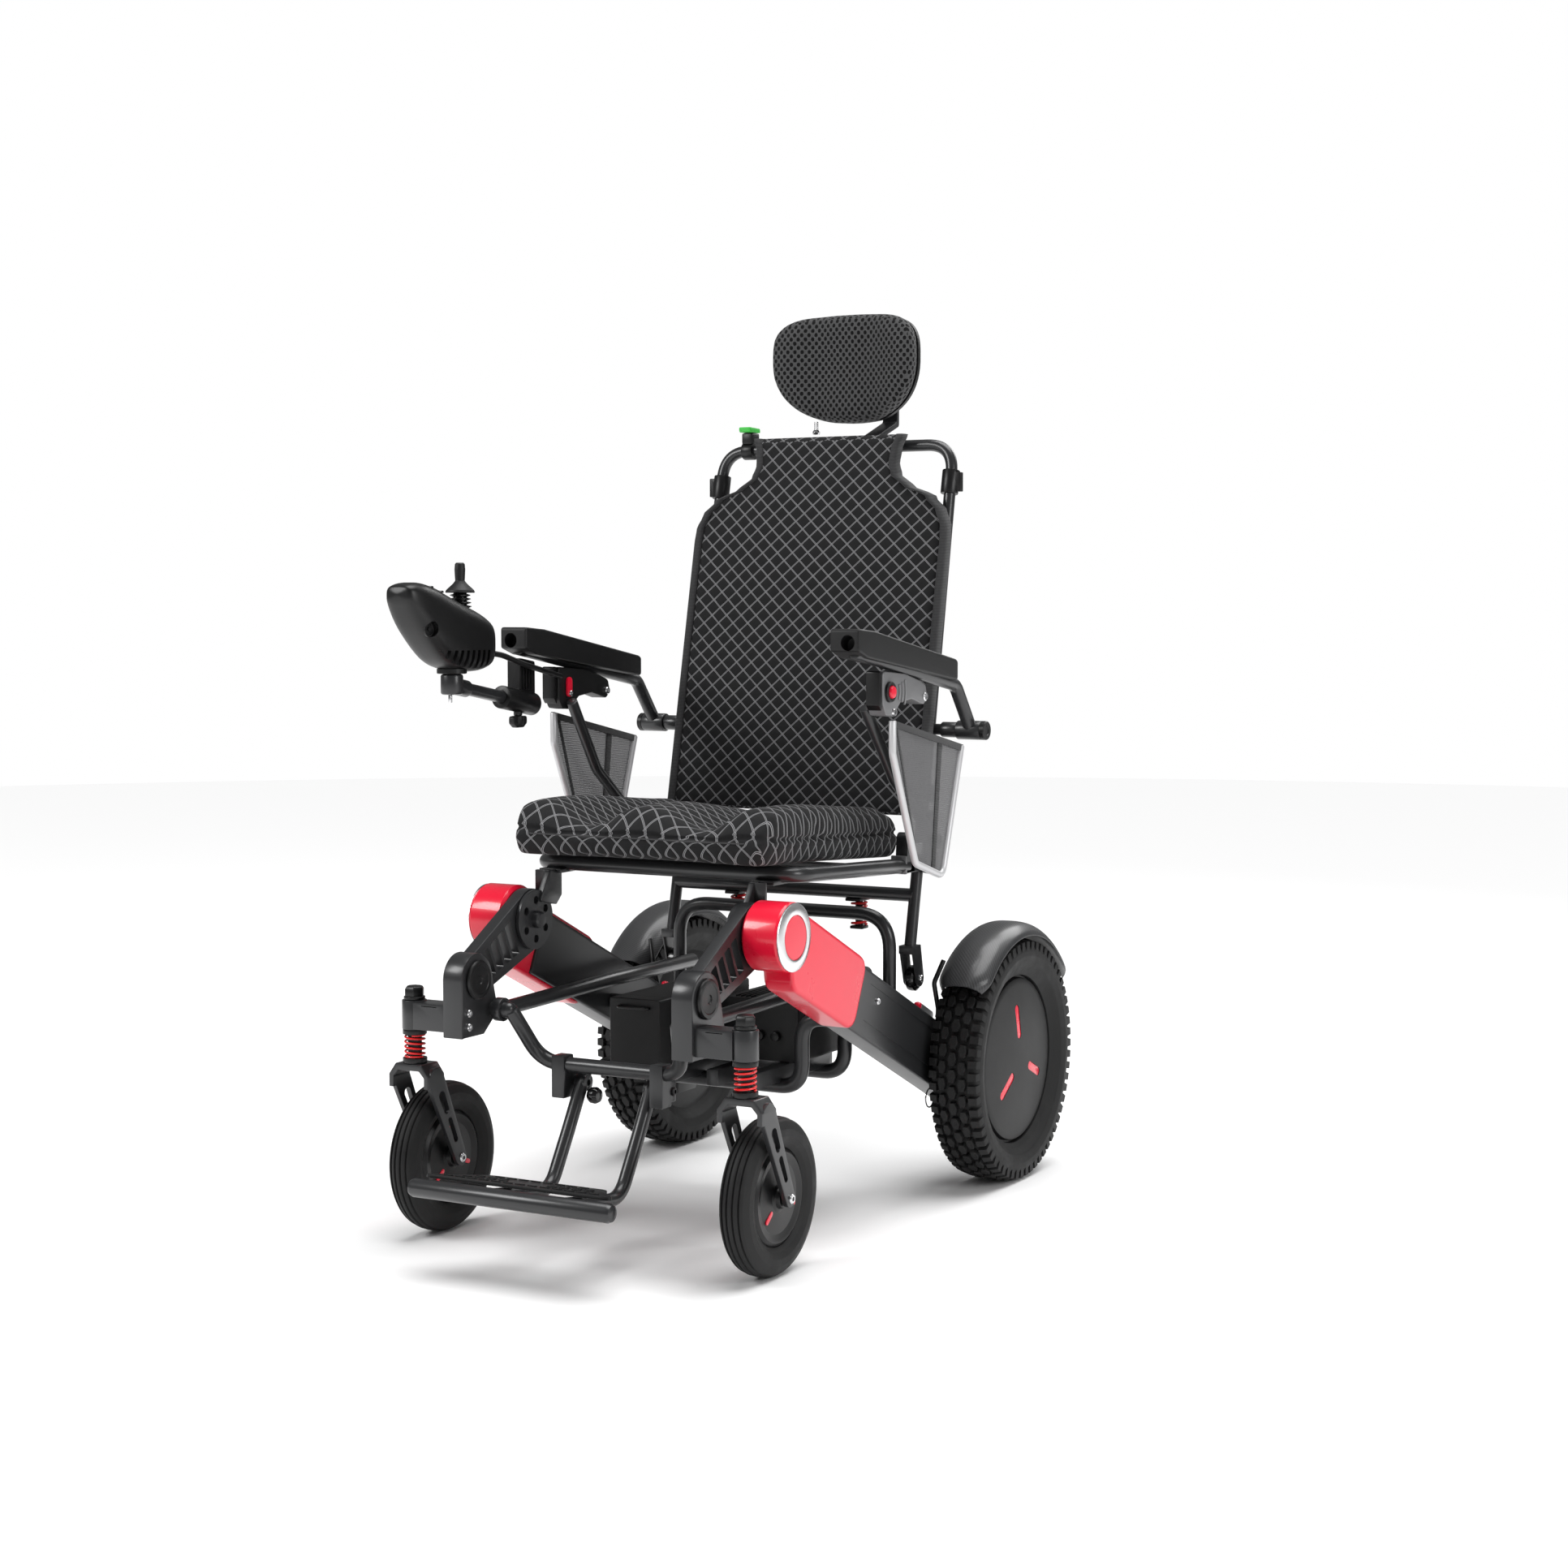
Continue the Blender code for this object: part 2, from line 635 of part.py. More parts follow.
def seat():
    """Seat tubes, hinge brackets, rear legs with trolley brackets, and the cushion."""
    front_y, front_z = SEAT_FRONT
    rear_y, rear_z = SEAT_REAR
    x = SEAT_X
    rails = tube(
        [(-x, rear_y + 0.010, rear_z), (-x, front_y, front_z), (x, front_y, front_z), (x, rear_y + 0.010, rear_z)],
        0.0105,
        0.040,
        12,
    )
    pieces = [rails]
    for y in (0.330, 0.450):
        z = front_z + (rear_z - front_z) * (y - front_y) / (rear_y - front_y)
        pieces.append(block((-x, y - 0.010, z - 0.004), (x, y + 0.010, z + 0.004)))
    leg_top, leg_low = 0.478, 0.3400
    for side in (-1, 1):
        s = side
        # bracket down from the front tube to the six-hole disc on the hinge
        strap = plate([(0.165, 0.425), (0.195, 0.440), (0.226, 0.476), (0.198, 0.476), (0.172, 0.462)], *sorted((s * 0.1568, s * 0.1622)))
        disc = turned([(0, 0.1568), (0.0400, 0.1568), (0.0400, 0.1622), (0, 0.1622)], (0, *HINGE), steps=28, side=s)
        holes = []
        for k in range(6):
            a = math.radians(60 * k + 30)
            hy, hz = HINGE[0] + 0.026 * math.cos(a), HINGE[1] + 0.026 * math.sin(a)
            holes.append(bar((s * 0.150, hy, hz), (s * 0.170, hy, hz), 0.0055, 10))
        disc = cut(disc, *holes)
        boss = turned([(0, 0.1460), (0.0090, 0.1480), (0.0115, 0.1520), (0.0115, 0.1570), (0, 0.1570)], (0, *HINGE), steps=14, side=s)
        foot = block((min(s * 0.150, s * 0.178), 0.196, 0.4705), (max(s * 0.150, s * 0.178), 0.232, 0.4765))
        pieces += [strap, disc, boss, foot]
        # rear corner block, the lug for the armrest post and the recline pivot
        low, high = sorted((s * 0.1860, s * 0.2045))
        pieces.append(block((low, rear_y - 0.004, 0.4560), (high, 0.600, 0.4780)))
        lug = hull(arc(POST_PIN, 0.0100, 0, 360, 12) + [(0.536, 0.470), (0.562, 0.470)])
        pieces.append(plate(lug, low, high))
        pieces.append(bar((s * 0.195, *POST_PIN), (s * 0.2500, *POST_PIN), 0.0040, 10))
        pieces.append(bar((s * 0.195, *RECLINE), (s * 0.2160, *RECLINE), 0.0050, 12))
        # rear leg, carrying on the line of the back tube
        leg = bar((s * BACK_TUBE_X, back_y(leg_low), leg_low), (s * BACK_TUBE_X, back_y(leg_top), leg_top), 0.0085)
        pieces.append(leg)
        for inner, outer in ((0.1855, 0.1885), (0.2045, 0.2075)):
            ear = hull(arc(TROLLEY, 0.0105, 0, 360, 12) + [(0.548, 0.352), (0.575, 0.352)])
            pieces.append(plate(ear, *sorted((s * inner, s * outer))))
        low, high = sorted((s * 0.1855, s * 0.2075))
        pieces.append(block((low, 0.548, 0.3400), (high, 0.575, 0.3520)))
        pieces.append(bar((s * 0.1840, *TROLLEY), (s * 0.2090, *TROLLEY), 0.0035, 10))
    lateral = bar((-BACK_TUBE_X, back_y(0.4210), 0.4210), (BACK_TUBE_X, back_y(0.4210), 0.4210), 0.0095)
    pieces.append(lateral)
    node("seat_frame", union(*pieces), FRAME, (0, *HINGE))

    # Cushion: two thigh troughs between a raised middle and raised sides.
    bm_rows = []
    count_x, count_y = 16, 8
    front, rear, half = 0.137, 0.533, 0.201
    top_points, low_points = [], []
    for j in range(count_y + 1):
        v = j / count_y
        y = front + (rear - front) * v
        width = half * (1.0 - 0.12 * max(0.0, 1 - v / 0.22) ** 2)
        row_top, row_low = [], []
        for i in range(count_x + 1):
            u = -1 + 2 * i / count_x
            shoulder = 1 - abs(u) ** 6 * 0.45
            wave = 0.009 * math.cos(2 * math.pi * u)
            nose = 1 - 0.75 * max(0.0, 1 - v / 0.16) ** 2
            thick = 0.026 + (0.036 + wave) * shoulder * nose
            base = 0.5000 - 0.0165 * (y - SEAT_FRONT[0]) / (SEAT_REAR[0] - SEAT_FRONT[0])
            row_top.append((u * width, y, base + thick))
            row_low.append((u * width, y, base))
        top_points.append(row_top)
        low_points.append(row_low)
    for row_low, row_top in zip(low_points, top_points):
        bm_rows.append(row_low + list(reversed(row_top)))
    node("seat_cushion", rings_to_shape(bm_rows), FABRIC)


def trolley_wheel(name, side):
    centre = (side * BACK_TUBE_X, *TROLLEY)
    profile = [(0.0040, -0.0065), (0.0160, -0.0065), (0.0185, -0.003), (0.0185, 0.003), (0.0160, 0.0065), (0.0040, 0.0065)]
    node(f"{name}_trolley_wheel", turned(profile, centre, steps=18, side=side), BLACK, centre)


# ---------------------------------------------------------------- back and headrest


def back():
    """Back tubes, padded back panel, headrest post and headrest."""
    tube_low = 0.500
    path = [
        (-BACK_TUBE_X, back_y(tube_low), tube_low),
        (-BACK_TOP_X, back_y(BACK_TOP_Z), BACK_TOP_Z),
        (BACK_TOP_X, back_y(BACK_TOP_Z), BACK_TOP_Z),
        (BACK_TUBE_X, back_y(tube_low), tube_low),
    ]
    pieces = [tube(path, 0.0085, 0.042, 12)]
    for side in (-1, 1):
        # outer side plate that turns on the recline pivot
        outline = hull(arc(RECLINE, 0.0180, 0, 360, 16) + [(back_y(0.54) - 0.008, 0.540), (back_y(0.54) + 0.008, 0.540)])
        low, high = sorted((side * 0.2080, side * 0.2140))
        side_plate = plate(outline, low, high)
        bore = bar((side * 0.190, *RECLINE), (side * 0.230, *RECLINE), 0.0050 + GAP, 12)
        pieces.append(cut(side_plate, bore))
        low, high = sorted((side * 0.1980, side * 0.2130))
        pieces.append(block((low, back_y(0.520) - 0.006, 0.507), (high, back_y(0.520) + 0.006, 0.535)))
        # stub that the armrest turns on, and the joint clamp near the top
        stub_y, stub_z = ARM_PIVOT
        pieces.append(bar((side * 0.196, stub_y, stub_z), (side * 0.2200, stub_y, stub_z), 0.0080, 14))
        pieces.append(bar((side * 0.218, stub_y, stub_z), (side * 0.2420, stub_y, stub_z), 0.0110, 14))
        pieces.append(bar((side * 0.2400, stub_y, stub_z), (side * 0.2840, stub_y, stub_z), 0.0060, 12))
        pieces.append(turned([(0, 0.2800), (0.0130, 0.2800), (0.0130, 0.2880), (0, 0.2880)], (0, stub_y, stub_z), steps=16, side=side))
        z = 1.0087
        pieces.append(bar((side * BACK_TOP_X, back_y(z - 0.017), z - 0.017), (side * BACK_TOP_X, back_y(z + 0.017), z + 0.017), 0.0125, 14))
    for z in (0.600, 0.830):
        pieces.append(bar((-0.194, back_y(z), z), (0.194, back_y(z), z), 0.0070, 10))
    # socket for the headrest post behind the top tube
    top = back_y(BACK_TOP_Z)
    socket = block((0.0200, top - 0.004, 1.0400), (0.0600, top + 0.0380, 1.0720))
    channel = block((0.0280 - GAP, top + 0.0220 - GAP, 1.000), (0.0520 + GAP, top + 0.0300 + GAP, 1.100))
    pieces.append(cut(socket, channel))
    node("back_frame", union(*pieces), FRAME, (0, *RECLINE))

    # Back panel: outline in (x, z), front and rear faces following the slope of the tubes.
    half = BACK_HALF_WIDTH
    right = [(half, 0.562), (half, 0.925), (0.205, 0.962), (0.180, 0.987), (0.142, 1.004), (0.121, 1.022), (0.117, 1.045), (0.124, 1.0795)]
    outline = right + [(-x, z) for x, z in reversed(right)]
    rings = []
    for ahead in (0.0345, 0.0150):
        rings.append([(x, back_y(z, ahead), z) for x, z in outline])
    node("back_cushion", rings_to_shape(rings), FABRIC)

    # Flat post: straight in its socket, then cranked back behind the pillow to the tilt pin.
    near, far = top + 0.0220, top + 0.0300
    crank = [
        (near, 0.9700),
        (far, 0.9700),
        (far, 1.0730),
        (HEADREST_TILT[0] + 0.004, 1.1000),
        (HEADREST_TILT[0] + 0.004, 1.1790),
        (HEADREST_TILT[0] - 0.004, 1.1790),
        (HEADREST_TILT[0] - 0.004, 1.1060),
        (near, 1.0790),
    ]
    post = plate(crank, 0.0280, 0.0520)
    pin = bar((0.010, *HEADREST_TILT), (0.070, *HEADREST_TILT), 0.0050, 12)
    node("headrest_post", union(post, pin), FRAME, (0.040, far, 0.9700))

    # Headrest: a pillow whose front is hollow in the middle, with an eye block behind.
    half_x, low_z, high_z = 0.118, 1.1000, 1.2660
    outline = filleted([(-half_x, low_z + 0.012), (-0.055, low_z), (0.055, low_z), (half_x, low_z + 0.012), (half_x * 0.97, high_z - 0.010), (0.0, high_z), (-half_x * 0.97, high_z - 0.010)], 0.036, 4, True)
    rings = []
    centre_z = (low_z + high_z) / 2
    for depth, size in ((0.715, 0.80), (0.725, 0.97), (0.743, 1.0), (0.768, 0.90)):
        ring = []
        for x, z in outline:
            bow = 0.014 * (1 - (x / half_x) ** 2)
            ring.append((x * size, depth + bow, centre_z + (z - centre_z) * size))
        rings.append(ring)
    pillow = rings_to_shape(rings)
    eyes = []
    for low_x, high_x in ((0.0120, 0.0276), (0.0524, 0.0680)):
        eye = hull(arc(HEADREST_TILT, 0.0110, 0, 360, 12) + [(0.755, 1.152), (0.755, 1.188)])
        eyes.append(plate(eye, low_x, high_x))
    bore = bar((0.0, *HEADREST_TILT), (0.080, *HEADREST_TILT), 0.0050 + GAP, 12)
    node("headrest_cushion", cut(union(pillow, *eyes), bore), FABRIC, (0, *HEADREST_TILT))


# ---------------------------------------------------------------- armrests


def armrest(name, side):
    """Flip-up arm with its latch housing, pad, side guard, button and front post."""
    x = side * ARM_TUBE_X
    pivot_y, pivot_z = ARM_PIVOT
    path = [(x, pivot_y, pivot_z), (x, 0.568, 0.7210), (x, 0.262, 0.7715)]
    arm = tube(path, 0.0095, 0.030)
    boss = bar((side * 0.2424, pivot_y, pivot_z), (side * 0.2796, pivot_y, pivot_z), 0.0135, 16)
    housing_outline = [(0.333, 0.742), (0.333, 0.702), (0.343, 0.686), (0.362, 0.684), (0.386, 0.702), (0.457, 0.695), (0.468, 0.708), (0.462, 0.733)]
    housing = plate(filleted(housing_outline, 0.006, 2, True), side * 0.2430, side * 0.2700)
    shape = union(arm, boss, housing)
    bore = bar((side * 0.230, pivot_y, pivot_z), (side * 0.300, pivot_y, pivot_z), 0.0060 + GAP, 12)
    button_bore = bar((side * 0.2610, *BUTTON), (side * 0.2900, *BUTTON), 0.0085 + GAP, 14)
    shape = cut(shape, bore, button_bore)
    node(f"{name}_armrest_frame", shape, FRAME, (x, pivot_y, pivot_z))

    button = bar((side * 0.2655, *BUTTON), (side * 0.2740, *BUTTON), 0.0085, 14)
    node(f"{name}_release_button", button, RED, (side * 0.2740, *BUTTON))

    # Pad with a groove that the arm tube lies in.
    outline = [(0.243, 0.7720), (0.270, 0.7630), (0.543, 0.7275), (0.543, 0.7540), (0.537, 0.7575), (0.290, 0.7980), (0.243, 0.8015)]
    pad = plate(filleted(outline, 0.004, 2, True), side * 0.2360, side * 0.2790)
    groove = tube([(x, 0.600, 0.7157), (x, 0.255, 0.77266)], 0.0099, sides=12)
    slot = plate([(0.20, 0.700), (0.60, 0.640), (0.60, 0.7157), (0.255, 0.77266), (0.255, 0.740)], side * (ARM_TUBE_X - 0.0099), side * (ARM_TUBE_X + 0.0099))
    node(f"{name}_armrest_pad", cut(pad, groove, slot), BLACK)

    # Side guard: a light frame round a mesh panel, with a top strap.
    gx = side * 0.2700
    corners = [(gx, 0.3590, 0.6790), (gx, 0.3590, 0.6350), (gx, 0.4290, 0.4830), (gx, 0.5140, 0.4580), (gx, 0.5740, 0.6360)]
    rim = tube(corners, 0.0048, 0.014, 8, 3)
    panel_outline = [(0.3590, 0.6790), (0.3590, 0.6350), (0.4290, 0.4830), (0.5140, 0.4580), (0.5740, 0.6360)]
    panel = plate(panel_outline, side * 0.2690, side * 0.2710)
    strap = tube([(gx, 0.3560, 0.6780), (gx, 0.5760, 0.6360)], 0.0050, sides=8)
    node(f"{name}_side_guard", union(rim, panel, strap), SILVER)

    # Post from the rear of the seat up to the latch.
    px = side * POST_X
    post = tube(
        [(px, *POST_PIN), (side * 0.2395, 0.4240, 0.5960), (side * 0.2325, 0.3500, 0.6960)], 0.0080, 0.050, 12
    )
    eye = bar((side * (POST_X - 0.006), *POST_PIN), (side * (POST_X + 0.0055), *POST_PIN), 0.0100, 14)
    pin = bar((side * 0.220, *POST_PIN), (side * 0.260, *POST_PIN), 0.0040 + GAP, 10)
    post = cut(union(post, eye), pin)
    # The post is flattened where it lies against the inner face of the latch housing.
    room = plate([(0.300, 0.652), (0.480, 0.652), (0.480, 0.760), (0.300, 0.760)], side * (0.2430 - GAP), side * 0.2900)
    node(f"{name}_armrest_post", cut(post, room), FRAME, (px, *POST_PIN))


# ---------------------------------------------------------------- controller


def control_point(y, lift=0.0):
    """(x, y, z) on the controller's support tube, which runs parallel to the armrest."""
    return (CONTROL_X, y, 0.7045 - (y - 0.220) * 0.165 + lift)


def controller():
    """Clamp bracket, sliding tube, controller body, joystick boot, stick, knob and cable."""
    clamp = bar(control_point(0.211), control_point(0.286), 0.0160, 16)
    ribbed = plate([(0.246, 0.7060), (0.282, 0.7000), (0.282, 0.7535), (0.246, 0.7590)], CONTROL_X - 0.0140, CONTROL_X + 0.0080)
    knob_seat = bar(control_point(0.251, -0.0110), control_point(0.251, -0.0206), 0.0060, 12)
    bracket = union(clamp, ribbed, knob_seat)
    arm_room = tube([(CONTROL_X - 0.006, 0.600, 0.7157), (CONTROL_X - 0.006, 0.20, 0.7817)], 0.0099, sides=12)
    bore = bar(control_point(0.150), control_point(0.330), 0.0085 + GAP, 14)
    node("controller_bracket", cut(bracket, arm_room, bore), FRAME)

    knob_top = control_point(0.251, -0.0210)
    grip = plate(
        filleted([(-0.016, 0.0), (-0.016, -0.010), (-0.008, -0.016), (0.008, -0.016), (0.016, -0.010), (0.016, 0.0)], 0.003, 2, True),
        -0.004,
        0.004,
    )
    grip.data.transform(Matrix.Translation(knob_top))
    node("wing_knob", grip, BLACK, knob_top)

    support = bar(control_point(0.108), control_point(0.286), 0.0085, 14)
    pad = block((CONTROL_X - 0.0130, CONTROL_POST_Y - 0.0140, 0.7120), (CONTROL_X + 0.0130, CONTROL_POST_Y + 0.0140, 0.7400))
    node("controller_arm", union(support, pad), FRAME, control_point(0.108))

    # Body: sections along Y, narrow and high at the nose, deep in the middle.
    sections = [
        (-0.0200, 0.8400, 0.8500, 0.0110),
        (-0.0140, 0.8290, 0.8575, 0.0210),
        (0.0080, 0.7990, 0.8610, 0.0280),
        (0.0380, 0.7700, 0.8555, 0.0310),
        (0.0650, 0.7520, 0.8460, 0.0320),
        (0.1000, 0.7440, 0.8340, 0.0320),
        (0.1350, 0.7430, 0.8230, 0.0300),
        (0.1600, 0.7480, 0.8120, 0.0260),
        (0.1730, 0.7560, 0.8030, 0.0180),
    ]
    rings = []
    for y, low, high, half in sections:
        ring = []
        middle, rise = (low + high) / 2, (high - low) / 2
        for k in range(16):
            a = 2 * math.pi * (k + 0.5) / 16
            c, s = math.cos(a), math.sin(a)
            px = half * math.copysign(abs(c) ** 0.55, c)
            pz = rise * math.copysign(abs(s) ** 0.55, s)
            ring.append((CONTROL_X + px, y, middle + pz))
        rings.append(ring)
    body = rings_to_shape(rings)
    flange = block((CONTROL_X - 0.0200, CONTROL_POST_Y - 0.0180, 0.7404), (CONTROL_X + 0.0200, CONTROL_POST_Y + 0.0180, 0.7470))
    dish = bar((CONTROL_X, STICK_BASE[0] - 0.002, STICK_BASE[1]), (CONTROL_X, STICK_BASE[0] - 0.002, 0.850), 0.0165, 16)
    body = cut(union(body, flange), dish)
    node("controller_body", body, BLACK, (CONTROL_X, CONTROL_POST_Y, 0.7404))

    boot = turned(
        [(0, 0.8262), (0.0090, 0.8262), (0.0125, 0.8330), (0.0090, 0.8360), (0.0130, 0.8400), (0.0085, 0.8440), (0.0130, 0.8470), (0, 0.8510)],
        (CONTROL_X, STICK_BASE[0], 0),
        "Z",
        14,
    )
    pivot = (CONTROL_X, *STICK_BASE)
    node("joystick_boot", boot, BLACK, pivot)
    stick = turned(
        [(0, 0.8518), (0.0175, 0.8480), (0.0170, 0.8510), (0.0060, 0.8610), (0.0068, 0.8750), (0.0060, 0.8860), (0, 0.8880)],
        (CONTROL_X, STICK_BASE[0], 0),
        "Z",
        16,
    )
    node("joystick", stick, BLACK, pivot)

    # Cable from the back of the body to the bracket's inner side, with slack for the swivel.
    route = [
        (CONTROL_X + 0.012, 0.1765, 0.7660),
        (CONTROL_X + 0.014, 0.1960, 0.7630),
        (CONTROL_X + 0.018, 0.2180, 0.7560),
        (CONTROL_X + 0.022, 0.2420, 0.7490),
        (CONTROL_X + 0.022, 0.2850, 0.7400),
        (CONTROL_X + 0.022, 0.3250, 0.7320),
    ]
    cable(route, 0.0040)


def cable(route, radius):
    """A round cable through the route's points, as a bevelled curve in its own node."""
    ends = [2 * Vector(route[0]) - Vector(route[1]), *map(Vector, route), 2 * Vector(route[-1]) - Vector(route[-2])]
    points = []
    for a, b, c, d in zip(ends, ends[1:], ends[2:], ends[3:]):
        for k in range(2):
            t = k / 2
            smooth = 2 * b + (c - a) * t + (2 * a - 5 * b + 4 * c - d) * t * t + (3 * b - a - 3 * c + d) * t**3
            points.append(smooth / 2)
    points.append(Vector(route[-1]))
    curve = bpy.data.curves.new("controller_cable", "CURVE")
    curve.dimensions = "3D"
    curve.bevel_depth = radius
    curve.bevel_resolution = 2
    curve.use_fill_caps = True
    spline = curve.splines.new("POLY")
    spline.points.add(len(points) - 1)
    for point, place in zip(spline.points, points):
        point.co = (*place, 1.0)
    curve.materials.append(BLACK)
    made = bpy.data.objects.new("controller_cable", curve)
    bpy.context.collection.objects.link(made)
    made.parent = ROOT


# ---------------------------------------------------------------- build

clear_scene()
FRAME = material("frame_grey", (0.055, 0.057, 0.062), 0.42, 0.55)
BLACK = material("black_plastic", (0.012, 0.012, 0.013), 0.45)
RED = material("red_gloss", (0.80, 0.015, 0.045), 0.25)
SILVER = material("silver", (0.75, 0.75, 0.76), 0.35, 0.8)
TYRE = material("tyre_rubber", (0.012, 0.012, 0.012), 0.75)
CARBON = material("carbon_weave", (0.030, 0.032, 0.035), 0.35)
FABRIC = material("black_fabric", (0.015, 0.015, 0.016), 0.90)

ROOT = bpy.data.objects.new("wheelchair", None)
bpy.context.collection.objects.link(ROOT)
ROOT.location = (0, SHIFT_Y, 0)

chassis_frames()
crossbar()
footrest()
seat()
back()
controller()
for side_name, side_sign in (("left", 1), ("right", -1)):
    chassis_side(side_name, side_sign)
    drive_wheel(side_name, side_sign)
    front_side(side_name, side_sign)
    caster(side_name, side_sign)
    trolley_wheel(side_name, side_sign)
    armrest(side_name, side_sign)
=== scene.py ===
"""Looks of the folding power wheelchair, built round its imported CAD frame.

Shapes are written in the chair's own frame, in metres: Y is 0 at the caster stems, Z is 0
on the ground, the chair faces -Y and its left side is +X.  finished() moves each shape by
SHIFT_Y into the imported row's frame.
"""

import math

import bmesh
import bpy
from mathutils import Matrix, Vector, noise


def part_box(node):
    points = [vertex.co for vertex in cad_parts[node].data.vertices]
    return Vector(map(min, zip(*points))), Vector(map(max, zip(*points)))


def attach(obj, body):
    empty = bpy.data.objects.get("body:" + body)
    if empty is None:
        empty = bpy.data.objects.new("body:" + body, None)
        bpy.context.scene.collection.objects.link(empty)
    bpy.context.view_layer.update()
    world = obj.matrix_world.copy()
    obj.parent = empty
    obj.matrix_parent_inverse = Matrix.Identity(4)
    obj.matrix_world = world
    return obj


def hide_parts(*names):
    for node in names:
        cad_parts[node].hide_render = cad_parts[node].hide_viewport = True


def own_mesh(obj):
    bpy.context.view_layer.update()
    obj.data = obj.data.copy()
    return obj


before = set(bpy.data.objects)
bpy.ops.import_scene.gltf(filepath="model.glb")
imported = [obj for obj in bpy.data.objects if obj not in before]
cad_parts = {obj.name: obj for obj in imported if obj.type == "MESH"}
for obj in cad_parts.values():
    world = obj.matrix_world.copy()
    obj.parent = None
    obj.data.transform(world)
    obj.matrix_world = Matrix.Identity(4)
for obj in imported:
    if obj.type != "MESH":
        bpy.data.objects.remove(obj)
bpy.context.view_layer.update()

# The chair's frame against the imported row's: the drive wheel's axle fixes the shift.
DRIVE_AXLE = (0.706, 0.176)
low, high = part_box("left_drive_tyre")
SHIFT_Y = (low.y + high.y) / 2 - DRIVE_AXLE[0]

GAP = 0.0004
DRIVE_RADIUS = 0.176
DRIVE_X = 0.276
DRIVE_RIM = 0.128
CASTER_X = 0.249
CASTER_RADIUS = 0.100
CASTER_AXLE = (0.0585, 0.100)
CASTER_RIM = 0.062
HINGE = (0.147, 0.412)
HINGE_RADIUS = 0.045
BEAM_START = (0.147, 0.399)
BEAM_PITCH = math.atan2(0.257, 0.553)
BEAM_LENGTH = 0.640
BEAM_HALF_HEIGHT = 0.045
BEAM_X = (0.1900, 0.2285)
KNEE = (0.012, 0.348)
LINK_PIN = (0.044, 0.306)
ARM_X = (0.1630, 0.1810)
LINK_X = 0.143
LINK_END_Y = 0.532
U_FRAME_Y = 0.545
CRADLE_YS = (0.385, 0.512)
SEAT_FRONT = (0.214, 0.483)
SEAT_REAR = (0.530, 0.467)
SEAT_X = 0.200
RECLINE = (0.588, 0.470)
BACK_SLOPE = 0.2102
BACK_BASE = (0.564, 0.3565)
BACK_TUBE_X = 0.1966
BACK_TOP_Z = 1.0635
BACK_TOP_X = 0.191
HEADREST_TILT = (0.812, 1.170)
TROLLEY = (0.574, 0.3035)
ARM_PIVOT = (0.622, 0.655)
ARM_TUBE_X = 0.262
POST_X = 0.243
POST_PIN = (0.548, 0.503)
BUTTON = (0.351, 0.717)
CROSSBAR_CORNER = (0.107, 0.0856, 0.2336)
FOOT_PIVOT = (0.1010, 0.2090)
FOOT_TUBE = (-0.1430, 0.1080)
FOOT_TUBE_RADIUS = 0.0120
FOOTPLATE_FRONT = (-0.1335, 0.1230)
FOOTPLATE_TILT = math.radians(8.6)
CONTROL_X = -0.256
STICK_BASE = (0.118, 0.822)
CONTROL_POST_Y = 0.098


# ---------------------------------------------------------------- materials


